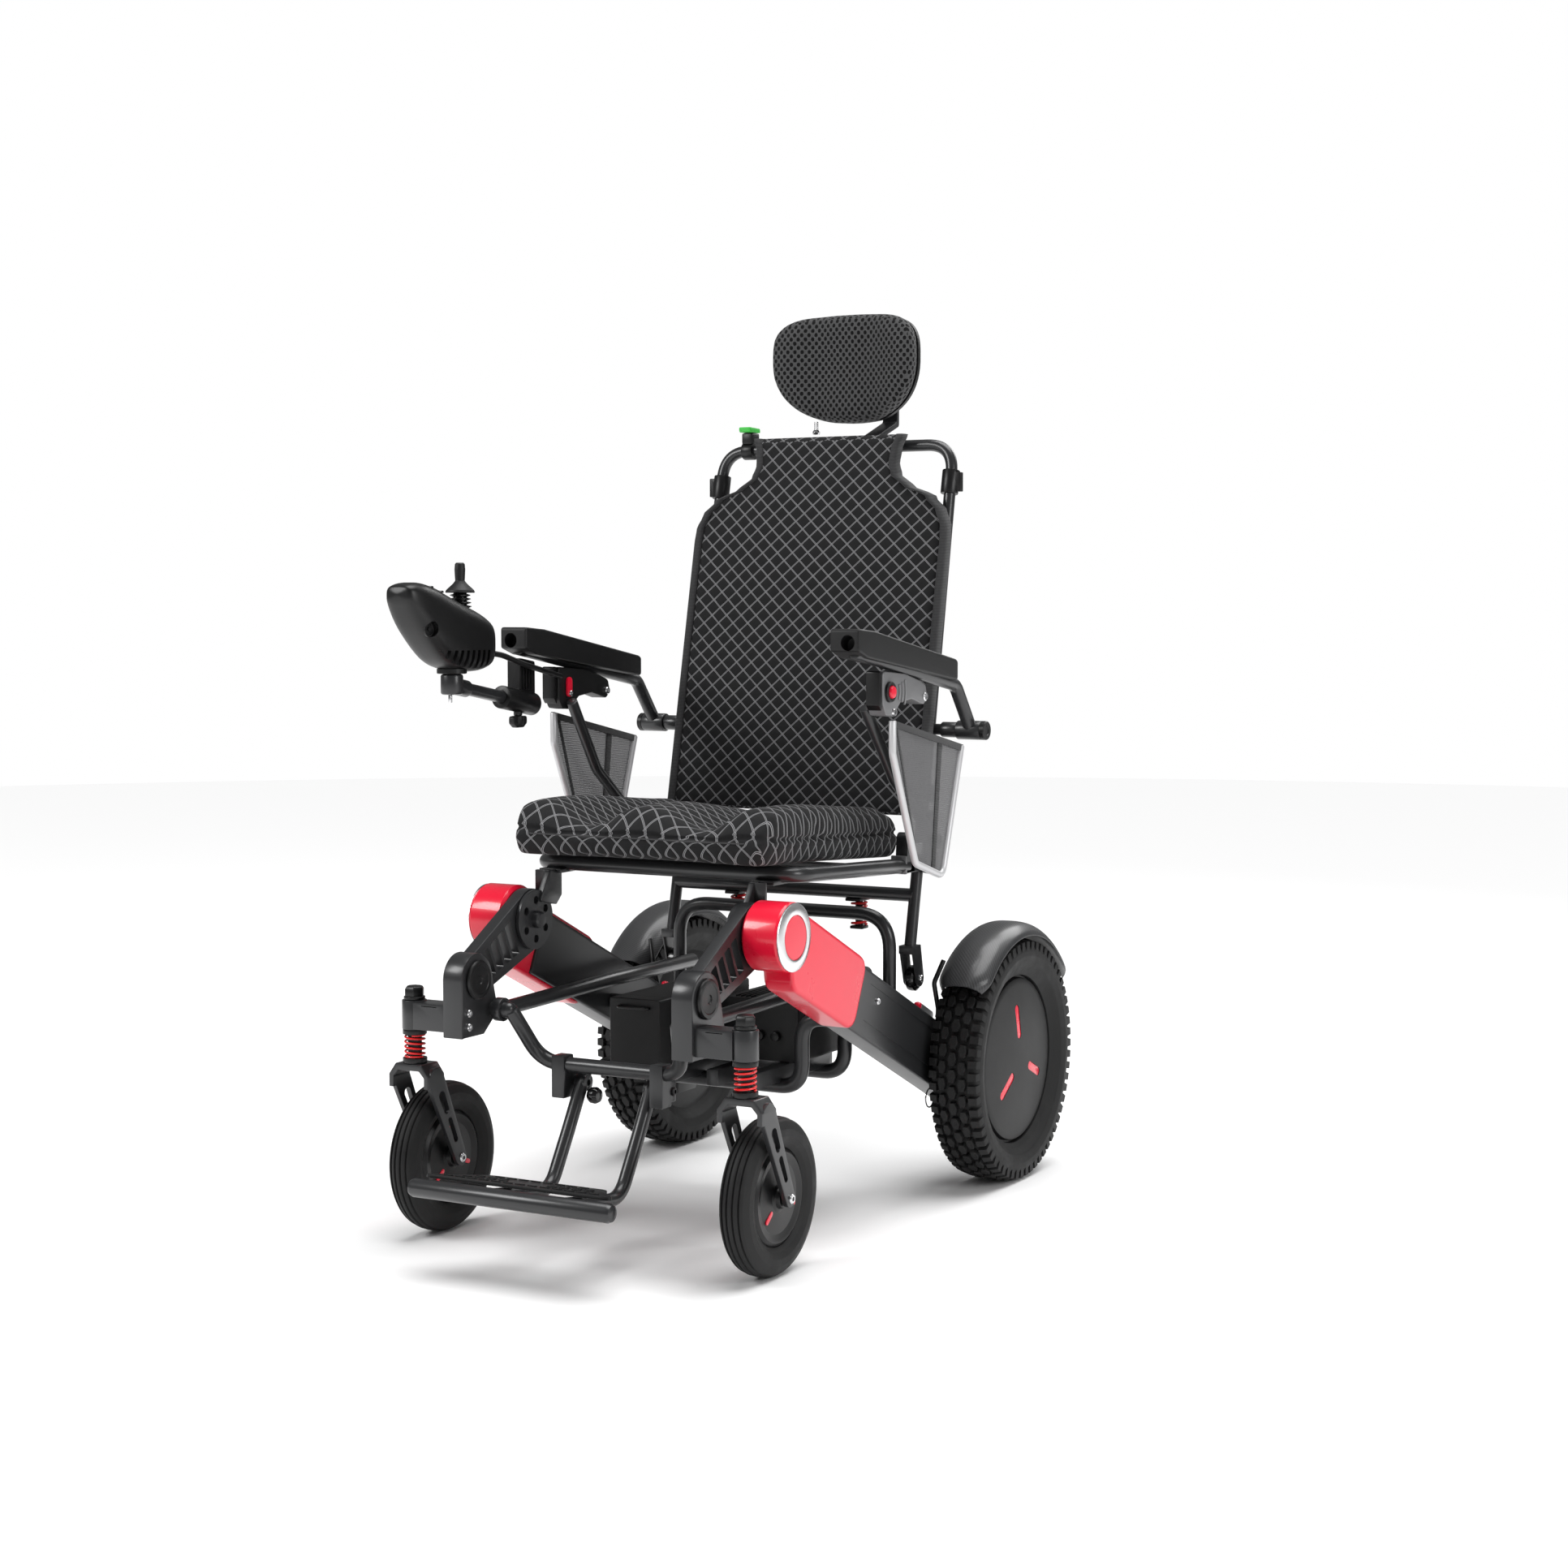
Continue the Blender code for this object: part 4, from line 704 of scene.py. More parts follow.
def chassis_side(name, side):
    inner, outer = BEAM_X
    outline = beam_outline(0.060, BEAM_LENGTH, BEAM_HALF_HEIGHT)
    outline = [outline[0], *filleted(outline, 0.030, 8, True)[9:27], outline[3]]
    beam = plate(outline, side * inner, side * outer, ease=0.0050, segments=4)
    groove = [
        beam_point(0.24, -0.0025), beam_point(0.60, -0.0025), beam_point(0.60, 0.0025),
        beam_point(0.24, 0.0025)
    ]
    lines = []
    for up in (-0.0255, 0.0255):
        strip = [(p[0] + up * math.sin(BEAM_PITCH), p[1] + up * math.cos(BEAM_PITCH)) for p in groove]
        lines.append(plate(strip, side * (outer - 0.0006), side * (outer + 0.004), ease=0))
    beam = cut(beam, *lines)
    finished(f"{name}_beam", beam, PAINT, "chassis", [f"{name}_rear_beam"])

    hub = turned(
        [
            (0, 0.1830), (0.041, 0.1830), (HINGE_RADIUS, 0.187), (HINGE_RADIUS, 0.2320), (0.0430, 0.2350),
            (0, 0.2350)
        ],
        (0, *HINGE),
        steps=72,
        side=side,
        soft=0.0012,
    )
    shell_outline = [
        (HINGE[0] - 0.018, HINGE[1] + 0.036),
        beam_point(0.000, 0.050),
        beam_point(0.205, 0.050),
        beam_point(0.205, -0.050),
        beam_point(0.020, -0.050),
    ]
    shell = plate(
        filleted(shell_outline, 0.024, 10, True), side * 0.1935, side * 0.2370, ease=0.0060, segments=5
    )
    shell = union(hub, shell)
    pocket = plate(
        beam_outline(0.060 - GAP, 0.240, BEAM_HALF_HEIGHT + GAP), side * 0.170, side * (outer + GAP), ease=0
    )
    finished(f"{name}_red_cover", cut(shell, pocket), RED, "chassis", [f"{name}_hinge_cover"])
    cone = turned(
        [
            (0.0290, 0.2345), (0.0425, 0.2345), (0.0440, 0.2355), (0.0440, 0.2368), (0.0425, 0.2378),
            (0.0315, 0.2394), (0.0290, 0.2388)
        ],
        (0, *HINGE),
        steps=72,
        side=side,
    )
    finished(f"{name}_hinge_ring", cone, SPUN, "chassis")
    disc = turned(
        [(0, 0.2340), (0.0284, 0.2340), (0.0284, 0.2380), (0.0275, 0.2388), (0, 0.2395)], (0, *HINGE),
        steps=56, side=side
    )
    finished(f"{name}_hinge_disc", disc, RED, "chassis")

    # Fender: a crowned strip with turned-down lips.
    strip = []
    spread = 42
    for i in range(spread + 1):
        angle = math.radians(33 + (141 - 33) * i / spread)
        end = min(i, spread - i) / spread
        narrow = 0.010 * max(0.0, 1 - end / 0.07) ** 2
        ring = []
        across = 18
        for k in range(across + 1):
            t = -1 + 2 * k / across
            x = 0.2757 + t * (0.0405 - narrow)
            lift = -0.0165 * abs(t) ** 3.2 + 0.001
            ring.append((x, DRIVE_RADIUS + 0.0190 + lift))
        section = ring + [(x, r + 0.0028) for x, r in reversed(ring)]
        strip.append(
            [
                (side * x, DRIVE_AXLE[0] + r * math.cos(angle), DRIVE_AXLE[1] + r * math.sin(angle)) for x,
                r in section
            ]
        )
    finished(
        f"{name}_carbon_fender", skinned(strip), CARBON, "chassis", [f"{name}_fender"], 50
    )
    stay = tube(
        [
            (side * 0.222, 0.600, 0.226), (side * 0.2325, 0.580, 0.262), (side * 0.2325, 0.566, 0.300),
            (side * 0.243, 0.576, 0.332)
        ],
        0.0035,
        0.012,
        12,
    )
    finished(f"{name}_fender_stay", stay, BLACK, "chassis")

    lever = plate(
        link_outline((0.600, 0.247), 0.007, (0.566, 0.2650), 0.0050, 20), side * 0.2055, side * 0.2125,
        ease=0.0015
    )
    finished(f"{name}_clutch_arm", lever, SILVER, f"{name}_clutch_lever", [f"{name}_clutch_lever"])
    tip = turned(
        [(0, -0.0050), (0.0040, -0.0045), (0.0052, 0), (0.0040, 0.0045), (0, 0.0050)],
        (side * 0.209, 0.5625, 0.2668), steps=20, soft=0.001
    )
    finished(f"{name}_clutch_tip", tip, RED, f"{name}_clutch_lever")

    # Axle bracket under the beam, with the ring-pull pin that locks it.
    lug = union(
        sided_block(side, 0.2135, 0.2340, (0.606, 0.094), (0.660, 0.124), 0.003),
        sided_block(side, 0.2170, 0.2300, (0.612, 0.110), (0.650, 0.176), 0.003),
    )
    finished(f"{name}_axle_bracket", lug, BLACK, "chassis")
    pin = bar((side * 0.2235, 0.586, 0.1345), (side * 0.2235, 0.620, 0.1345), 0.0035, 14)
    finished(f"{name}_pull_pin", pin, STEEL, "chassis")
    loop = [
        (side * 0.2235, 0.5725 + 0.0135 * math.cos(a), 0.1345 + 0.0135 * math.sin(a))
        for a in (2 * math.pi * k / 40 for k in range(1, 41))
    ]
    finished(f"{name}_pull_ring", tube(loop, 0.0011, sides=8, ease=0.0003), STEEL, "chassis")
    bolts = [
        cap_bolt((side * outer, *beam_point(0.27, 0.012)), "X", side, 0.0045, 0.003),
        cap_bolt((side * outer, *beam_point(0.60, 0.024)), "X", side, 0.0055, 0.004),
    ]
    finished(f"{name}_beam_bolts", group(*bolts), STEEL, "chassis")


def tread_block(bm, outline, to_space, top, base):
    """A raised tread block over a flat outline, mapped onto the tyre."""
    rings = []
    for grow, height in ((1.0, base), (0.95, top - 0.0007), (0.88, top)):
        middle = (sum(p[0] for p in outline) / len(outline), sum(p[1] for p in outline) / len(outline))
        rings.append(
            [
                bm.verts.new(
                    to_space(
                        middle[0] + (p[0] - middle[0]) * grow, middle[1] + (p[1] - middle[1]) * grow, height
                    )
                )
                for p in outline
            ]
        )
    count = len(outline)
    for one, two in zip(rings, rings[1:]):
        for i in range(count):
            j = (i + 1) % count
            bm.faces.new((one[i], one[j], two[j], two[i]))
    bm.faces.new(rings[-1])
    bm.faces.new(list(reversed(rings[0])))


def drive_wheel(name, side):
    centre = Vector((side * DRIVE_X, *DRIVE_AXLE))
    base = DRIVE_RADIUS - 0.0072
    crown = 0.036
    profile = [
        (DRIVE_RIM - 0.006, -0.022),
        (DRIVE_RIM + 0.001, -0.027),
        (DRIVE_RIM + 0.010, -0.0345),
        (DRIVE_RIM + 0.022, -0.0375),
        (DRIVE_RADIUS - 0.018, -0.0370),
        (DRIVE_RADIUS - 0.010, -0.0330),
        (base - 0.0010, -0.022),
        (base, -0.010),
        (base, 0.010),
        (base - 0.0010, 0.022),
        (DRIVE_RADIUS - 0.010, 0.0330),
        (DRIVE_RADIUS - 0.018, 0.0370),
        (DRIVE_RIM + 0.022, 0.0375),
        (DRIVE_RIM + 0.010, 0.0345),
        (DRIVE_RIM + 0.001, 0.027),
        (DRIVE_RIM - 0.006, 0.022),
    ]
    smooth = [profile[0], *[tuple(p) for p in filleted(profile, 0.008, 4)[1:-1]], profile[-1]]
    carcass = turned(smooth, centre, steps=120, side=side)

    def to_space(turn, across, height):
        """Turn in radians; across in metres from the middle; height is a radius there."""
        drop = 0.0045 * (abs(across) / crown) ** 3
        r = height - drop
        return centre + Vector((side * across, r * math.cos(turn), r * math.sin(turn)))

    bm = bmesh.new()
    count = 46
    pitch = 2 * math.pi / count
    for k in range(count):
        a = k * pitch
        hexes = []
        for across, shift, wide, long in (
            (0.0, 0.0, 0.0068, 0.40), (0.0150, 0.5, 0.0062, 0.38), (-0.0150, 0.5, 0.0062, 0.38)
        ):
            middle = a + shift * pitch
            hexes.append(
                [
                    (middle - long * pitch, across - wide * 0.55),
                    (middle, across - wide),
                    (middle + long * pitch, across - wide * 0.55),
                    (middle + long * pitch, across + wide * 0.55),
                    (middle, across + wide),
                    (middle - long * pitch, across + wide * 0.55),
                ]
            )
        for outline in hexes:
            tread_block(bm, outline, to_space, DRIVE_RADIUS, base - 0.003)
    lugs = 62
    for k in range(lugs):
        middle, half = k * 2 * math.pi / lugs, 0.34 * 2 * math.pi / lugs
        for hand in (-1, 1):
            lug = [
                (middle - half, hand * 0.0235),
                (middle + half, hand * 0.0235),
                (middle + half * 0.92, hand * 0.0368),
                (middle - half * 0.92, hand * 0.0368),
            ]
            tread_block(bm, lug, to_space, DRIVE_RADIUS - 0.0004, base - 0.010)
    blocks = shape_from(bm)
    finished(
        f"{name}_tyre", group(carcass, blocks), TYRE, f"{name}_drive_wheel", [f"{name}_drive_tyre"],
        40
    )

    rim = DRIVE_RIM - GAP
    def dome(reach):
        """Offset of the hub's outer face at a reach from the axle."""
        return 0.0296 - 0.0060 * (reach / 0.112) ** 2

    hub_profile = [(0, dome(0))] + [(r, dome(r)) for r in (0.020, 0.040, 0.060, 0.080, 0.096, 0.108, 0.1135)]
    hub_profile += [
        (0.1165, 0.0222),
        (0.1180, 0.0185),
        (0.1185, 0.0150),
        (0.1210, 0.0150),
        (0.1218, 0.0205),
        (0.1235, 0.0218),
        (rim, 0.0212),
        (rim, -0.0212),
        (0.1180, -0.0230),
        (0.1100, -0.0260),
        (0.0700, -0.0300),
        (0.0450, -0.0310),
        (0.0400, -0.0355),
        (0.0160, -0.0370),
        (0.0120, -0.0400),
        (0.0120, -0.0465),
        (0, -0.0465),
    ]
    motor = turned(hub_profile, centre, steps=96, side=side)
    slots, inlays = [], []
    for angle in (97, 217, 337):
        a = math.radians(angle)
        ends = [(DRIVE_AXLE[0] + r * math.cos(a), DRIVE_AXLE[1] + r * math.sin(a)) for r in (0.0370, 0.0740)]
        outline = link_outline(ends[0], 0.0064, ends[1], 0.0064, 20)
        slots.append(plate(outline, side * (DRIVE_X + 0.0190), side * (DRIVE_X + 0.0400), ease=0))
        inner = link_outline(ends[0], 0.0063, ends[1], 0.0063, 20)
        inlay = plate(inner, side * (DRIVE_X + 0.0180), side * (DRIVE_X + 0.0280), ease=0.0005)
        for vertex in inlay.data.vertices:
            p = vertex.co
            if abs(p.x) > DRIVE_X + 0.0240:
                reach = math.hypot(p.y - DRIVE_AXLE[0], p.z - DRIVE_AXLE[1])
                p.x += side * (dome(reach) - 0.0286)
        inlays.append(inlay)
    finished(
        f"{name}_motor", cut(motor, *slots), MOULDED, f"{name}_drive_wheel", [f"{name}_hub_motor"],
    )
    finished(f"{name}_hub_accents", group(*inlays), RED, f"{name}_drive_wheel")


def chassis_frames():
    top, x, y = 0.395, 0.173, U_FRAME_Y
    frame_tube = tube([(-x, y, 0.205), (-x, y, top), (x, y, top), (x, y, 0.205)], 0.0095, 0.050, 28, 12)
    feet = [sided_block(s, 0.1650, 0.1893, (y - 0.016, 0.196), (y + 0.016, 0.236), 0.002) for s in (-1, 1)]
    finished("rear_u_frame", union(frame_tube, *feet), PAINT, "chassis", ["u_frame"])

    pieces = []
    for y, top in zip(CRADLE_YS, (0.268, 0.248)):
        pieces.append(
            tube(
                [
                    (-0.1893, y, top), (-0.119, y, top), (-0.119, y, 0.170), (0.119, y, 0.170),
                    (0.119, y, top), (0.1893, y, top)
                ],
                0.0105,
                0.034,
                24,
                10,
            )
        )
    low_y, high_y = CRADLE_YS[0] - 0.075, CRADLE_YS[1] + 0.020
    for x in (-0.090, -0.045, 0.020, 0.080):
        pieces.append(block((x - 0.009, low_y, 0.176), (x + 0.009, high_y, 0.1985), 0.0015))
    finished("cradle", union(*pieces), PAINT, "chassis", ["battery_cradle"])

    battery = plate(
        filleted(
            [(-0.107, 0.1990), (-0.027, 0.1990), (-0.027, 0.2980), (-0.107, 0.2980)], 0.004, 4, True
        ), 0.250, 0.496, "Y", 0.0020, 3
    )
    seam = cut(battery, block((-0.12, 0.2780, 0.10), (-0.02, 0.2786, 0.40), 0))
    handle = tube(
        [(-0.090, 0.2505, 0.286), (-0.090, 0.243, 0.286), (-0.044, 0.243, 0.286), (-0.044, 0.2505, 0.286)],
        0.0022, 0.006, 10
    )
    finished("battery_case", seam, MOULDED, "chassis", ["battery_box"])
    finished("battery_handle", handle, BLACK, "chassis")
    module = plate(
        filleted(
            [(-0.020, 0.1990), (0.104, 0.1990), (0.104, 0.2850), (-0.020, 0.2850)], 0.005, 4, True
        ), 0.402, 0.530, "Y", 0.0025, 3
    )
    ribs = [
        block((x, 0.41, 0.2845), (x + 0.002, 0.52, 0.2875), 0.0003)
        for x in [0.0 + 0.008 * i for i in range(12)]
    ]
    finished("power_case", module, MOULDED, "chassis", ["power_module"])
    finished("power_case_fins", group(*ribs), BLACK, "chassis")
    plugs = [
        bar((0.02 + 0.025 * i, 0.394, 0.235), (0.02 + 0.025 * i, 0.404, 0.235), 0.007, 20)
        for i in range(3)
    ]
    finished("power_plugs", group(*plugs), BLACK, "chassis")


# ---------------------------------------------------------------- front


def front_side(name, side):
    outline = link_outline(HINGE, 0.041, KNEE, 0.028, 56)
    arm = plate(outline, side * ARM_X[0], side * ARM_X[1], ease=0.0014, segments=3)
    along = (Vector(KNEE) - Vector(HINGE)).normalized()
    across = Vector((-along[1], along[0]))
    windows = []
    for near, far in ((0.046, 0.060), (0.065, 0.079), (0.084, 0.098), (0.103, 0.117)):
        corners = []
        for reach, sign in ((near, 1), (far, 1), (far, -1), (near, -1)):
            half = 0.0285 - 0.085 * reach
            corners.append(tuple(Vector(HINGE) + along * reach + across * half * sign))
        windows.append(plate(filleted(corners, 0.0022, 3, True), side * 0.150, side * 0.190, ease=0))
    finished(f"{name}_arm", cut(arm, *windows), PAINT, "front_arms", [f"{name}_truss_arm"])

    cheek = hull(
        arc(KNEE, 0.0330, 0, 360, 64) + arc(LINK_PIN, 0.0125, 0, 360, 24) + [(-0.0215, 0.275), (0.026, 0.275)]
    )
    strap = arc(KNEE, 0.0345, 72, 180, 24) + [
        (-0.0225, 0.2745), (-0.0180, 0.2745)
    ] + arc(KNEE, 0.0300, 180, 72, 24)
    foot = [(-0.0215, 0.2750), (0.026, 0.275), (0.032, 0.284), (0.032, 0.306), (-0.0215, 0.306)]
    pieces = [
        plate(cheek, side * 0.1570, side * 0.1622, ease=0.0012),
        plate(cheek, side * 0.1818, side * 0.1870, ease=0.0012),
        plate(strap, side * 0.1570, side * 0.1870, ease=0.0014),
        plate(foot, side * 0.1580, side * 0.1860, ease=0.0008),
        sided_block(side, 0.185, 0.2400, (-0.0165, 0.2800), (0.0165, 0.3160), 0.0018),
        bar((side * CASTER_X, 0, 0.2788), (side * CASTER_X, 0, 0.3172), 0.0165, 40),
    ]
    body = union(*pieces)
    bore = bar((side * CASTER_X, 0, 0.25), (side * CASTER_X, 0, 0.35), 0.0100, 28)
    window = block(
        (min(side * 0.202, side * 0.226), -0.03, 0.3115), (max(side * 0.202, side * 0.226), 0.03, 0.3125), 0
    )
    finished(
        f"{name}_carrier", cut(body, bore, window), PAINT, "carriers", [f"{name}_caster_carrier"],
    )
    for tag, start, way in (("outer", 0.1868, 1), ("inner", 0.1572, -1)):
        knee = turned(
            [
                (0, 0), (0.0255, 0), (0.0255, way * 0.0035), (0.0235, way * 0.0055), (0.0190, way * 0.0058),
                (0.0180, way * 0.0050), (0.0060, way * 0.0050), (0.0050, way * 0.0035), (0, way * 0.0035)
            ],
            (side * start, *KNEE),
            steps=56,
            side=side,
            soft=0.0005,
        )
        finished(f"{name}_knee_cap_{tag}", knee, BLACK, "carriers")
    bolts = []
    for z in (0.2885, 0.3065):
        bolts.append(cap_bolt((side * 0.1570, -0.0075, z), "X", -side, 0.0052, 0.0030))
    finished(f"{name}_carrier_bolts", group(*bolts), STEEL, "carriers")

    x = LINK_X
    eye = bar((side * (x - 0.0062), *LINK_PIN), (side * (x + 0.0062), *LINK_PIN), 0.0155, 36)
    link = tube(
        [
            (side * x, LINK_PIN[0] + 0.005, LINK_PIN[1]), (side * x, 0.30, 0.3115),
            (side * x, LINK_END_Y, 0.3120)
        ],
        0.0100,
        0.05,
        24,
    )
    pin = bar((side * (x - 0.016), *LINK_PIN), (side * (x + 0.016), *LINK_PIN), 0.0105 + GAP, 28)
    finished(
        f"{name}_link", cut(union(eye, link), pin), PAINT, "lower_links", [f"{name}_lower_link"]
    )


def crossbar():
    cx, cy, cz = CROSSBAR_CORNER
    shape = tube(
        [(-0.1265, *LINK_PIN), (-cx, cy, cz), (cx, cy, cz), (0.1265, *LINK_PIN)], 0.0098, 0.040, 28, 14
    )
    pieces = []
    for side in (-1, 1):
        stub = [
            (0, 0.1546), (0.0105, 0.1546), (0.0105, 0.1300), (0.0095, 0.1255), (0.0070, 0.1225),
            (0.0035, 0.1212), (0, 0.1210)
        ]
        pieces.append(turned(stub, (0, *LINK_PIN), steps=36, side=side))
        pieces.append(sided_block(side, 0.0650, 0.0850, (0.0740, 0.1900), (0.0972, 0.2460), 0.0022))
        pieces.append(sided_block(side, 0.0650, 0.0850, (0.0900, 0.1950), (0.1080, 0.2230), 0.0022))
        pieces.append(bar((side * 0.0480, *FOOT_PIVOT), (side * 0.0670, *FOOT_PIVOT), 0.0040, 20))
    finished("crossbar", union(shape, *pieces), PAINT, "carriers", ["footrest_crossbar"])
    bolts = [cap_bolt((s * 0.0850, FOOT_PIVOT[0], FOOT_PIVOT[1]), "X", s, 0.0058, 0.003) for s in (-1, 1)]
    finished("footrest_bolts", group(*bolts), BLACK, "carriers")


def caster(name, side):
    x = side * CASTER_X
    stem = turned(
        [
            (0, 0.2345),
            (0.0160, 0.2345),
            (0.0160, 0.2410),
            (0.0092, 0.2412),
            (0.0092, 0.3180),
            (0.0140, 0.3180),
            (0.0140, 0.3215),
            (0.0105, 0.3225),
            (0, 0.3225),
        ],
        (x, 0, 0),
        "Z",
        40,
        soft=0.0006,
    )
    nut = turned(
        [(0, 0.3220), (0.0135, 0.3220), (0.0135, 0.3315), (0.0115, 0.3345), (0.0080, 0.3356), (0, 0.3356)],
        (x, 0, 0), "Z", 6
    )
    stem = union(stem, eased(nut, 0.0006))
    collar = turned(
        [(0.0098, 0.2722), (0.0158, 0.2722), (0.0158, 0.2785), (0.0098, 0.2785)], (x, 0, 0), "Z", 40
    )
    finished(f"{name}_stem", stem, BLACK, f"{name}_caster_stem", [f"{name}_caster_stem"])
    finished(f"{name}_spring_collar", eased(collar, 0.0006), BLACK, "carriers")
    spring = helix((x, 0), 0.0128, 0.0014, 0.2413, 0.2722, 5.2, side)
    finished(
        f"{name}_spring", spring, SPRING_RED, f"{name}_caster_stem", [f"{name}_caster_spring"]
    )
    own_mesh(bpy.data.objects[f"{name}_spring"])

    shoulders = [
        (-0.0315, 0.2020),
        (-0.0315, 0.2190),
        (-0.0205, 0.2341),
        (0.0205, 0.2341),
        (0.0315, 0.2190),
        (0.0315, 0.2020),
        (0.0245, 0.2020),
        (0.0245, 0.2165),
        (0.0165, 0.2250),
        (-0.0165, 0.2250),
        (-0.0245, 0.2165),
        (-0.0245, 0.2020),
    ]
    crown = plate([(x + px, pz) for px, pz in shoulders], -0.0155, 0.0215, "Y", 0.0018, 3)
    legs = []
    top, axle = Vector((0.0050, 0.2120)), Vector(CASTER_AXLE)
    for offset in (-1, 1):
        near, far = sorted((x + offset * 0.0245, x + offset * 0.0315))
        leg = plate(link_outline(top, 0.0165, axle, 0.0110, 40), near, far, ease=0.0016, segments=3)
        holes = []
        for start, end, wide in ((0.20, 0.38, 0.0066), (0.52, 0.76, 0.0048)):
            holes.append(
                plate(
                    link_outline(top.lerp(axle, start), wide, top.lerp(axle, end), wide * 0.86, 18),
                    near - 0.005, far + 0.005, ease=0
                )
            )
        legs.append(cut(leg, *holes))
    rod = bar((x - 0.0325, *CASTER_AXLE), (x + 0.0325, *CASTER_AXLE), 0.0050, 20)
    finished(
        f"{name}_fork", union(crown, legs[0], legs[1], rod), PAINT, f"{name}_caster_fork",
        [f"{name}_caster_fork"]
    )
    bolts = [cap_bolt((x + o * 0.0310, *CASTER_AXLE), "X", o, 0.0062, 0.0036) for o in (-1, 1)]
    finished(f"{name}_fork_bolts", group(*bolts), STEEL, f"{name}_caster_fork")

    centre = (x, *CASTER_AXLE)
    half = 0.0205
    crown_r = CASTER_RADIUS
    profile = [
        (CASTER_RIM, -0.0130), (CASTER_RIM + 0.006, -0.0175), (CASTER_RIM + 0.014, -half),
        (crown_r - 0.015, -half), (crown_r - 0.0055, -0.0165)
    ]
    for groove in (-0.0115, -0.0040, 0.0040, 0.0115):
        rim = crown_r - 0.0045 * (abs(groove) / 0.0165) ** 2
        profile += [
            (rim, groove - 0.0014), (rim - 0.0028, groove - 0.0005), (rim - 0.0028, groove + 0.0005),
            (rim, groove + 0.0014)
        ]
    profile += [
        (crown_r - 0.0055, 0.0165), (crown_r - 0.015, half), (CASTER_RIM + 0.014, half),
        (CASTER_RIM + 0.006, 0.0175), (CASTER_RIM, 0.0130)
    ]
    profile = [profile[0], *[tuple(p) for p in filleted(profile, 0.0016, 2)[1:-1]], profile[-1]]
    tyre = turned(profile, centre, steps=96, side=side)
    finished(
        f"{name}_front_tyre", tyre, TYRE, f"{name}_caster_wheel", [f"{name}_caster_tyre"], 40
    )
    rim, bore = CASTER_RIM - GAP, 0.0054
    face = [
        (bore, 0.0222), (0.0125, 0.0222), (0.0140, 0.0165), (0.0190, 0.0150), (0.0460, 0.0135),
        (0.0520, 0.0150), (0.0565, 0.0162), (rim, 0.0125)
    ]
    hub = turned(
        face + [(r, -offset) for r, offset in reversed(face)], centre, steps=72, side=side, soft=0.0008
    )
    finished(
        f"{name}_front_hub", hub, BLACK, f"{name}_caster_wheel", [f"{name}_caster_wheel"]
    )
    accents = []
    for k in range(3):
        a = math.radians(100 + 120 * k)
        ends = [(CASTER_AXLE[0] + r * math.cos(a), CASTER_AXLE[1] + r * math.sin(a)) for r in (0.026, 0.040)]
        for hand in (-1, 1):
            low_x, high_x = sorted((x + hand * 0.0120, x + hand * 0.0152))
            accents.append(
                plate(link_outline(ends[0], 0.0030, ends[1], 0.0030, 14), low_x, high_x, ease=0.0004)
            )
    finished(f"{name}_front_accents", group(*accents), RED, f"{name}_caster_wheel")


def footrest():
    y, z = FOOT_TUBE
    legs = []
    for side in (-1, 1):
        x = side * 0.0530
        path = [
            (x, FOOT_PIVOT[0] + 0.005, FOOT_PIVOT[1] + 0.013), (x, 0.0660, 0.1530), (x, 0.0220, 0.0810),
            (x, y, z - 0.002)
        ]
        legs.append(tube(path, 0.0090, 0.040, 24, 12))
    front = turned(
        [
            (0, -0.1502), (0.0060, -0.1498), (0.0100, -0.1478), (FOOT_TUBE_RADIUS, -0.1430),
            (FOOT_TUBE_RADIUS, 0.1430), (0.0100, 0.1478), (0.0060, 0.1498), (0, 0.1502)
        ],
        (0, y, z),
        steps=36,
    )
    eyes = [bar((s * 0.0445, *FOOT_PIVOT), (s * 0.0615, *FOOT_PIVOT), 0.0110, 28) for s in (-1, 1)]
    body = union(front, *legs, *eyes)
    bores = [bar((s * 0.040, *FOOT_PIVOT), (s * 0.070, *FOOT_PIVOT), 0.0040 + GAP, 20) for s in (-1, 1)]
    finished("footrest_tubes", cut(body, *bores), PAINT, "footrest", ["footrest_frame"])
    knob = turned(
        [(0, 0), (0.0080, 0), (0.0105, 0.004), (0.0110, 0.010), (0.0085, 0.0150), (0, 0.0165)],
        (-0.0430, 0.1010, 0.1930), steps=32, side=1, soft=0.001
    )
    finished("footrest_knob", knob, GLOSSY, "footrest")

    outline = [(-0.146, 0.0), (0.146, 0.0), (0.111, 0.036), (0.086, 0.076), (-0.086, 0.076), (-0.111, 0.036)]
    tread = plate(filleted(outline, 0.020, 8, True), -0.0030, 0.0016, "Z", 0.0012)
    grips = [tread]
    for row in range(4):
        count = (13, 11, 10, 8)[row]
        for k in range(count):
            x = (k - (count - 1) / 2) * 0.0180
            v = 0.012 + row * 0.0160
            if row in (1, 2) and abs(x) < 0.030:
                continue
            grips.append(
                plate(
                    link_outline((x - 0.0045, v), 0.0024, (x + 0.0045, v), 0.0024, 10), 0.0010, 0.0030, "Z",
                    0.0005
                )
            )
    turn = Matrix.Rotation(-FOOTPLATE_TILT, 4, "X")
    tread = moved(group(*grips), turn, Matrix.Translation((0, *FOOTPLATE_FRONT)))
    finished("tread_plate", tread, MOULDED, "footrest", ["footplate"])


# ---------------------------------------------------------------- seat


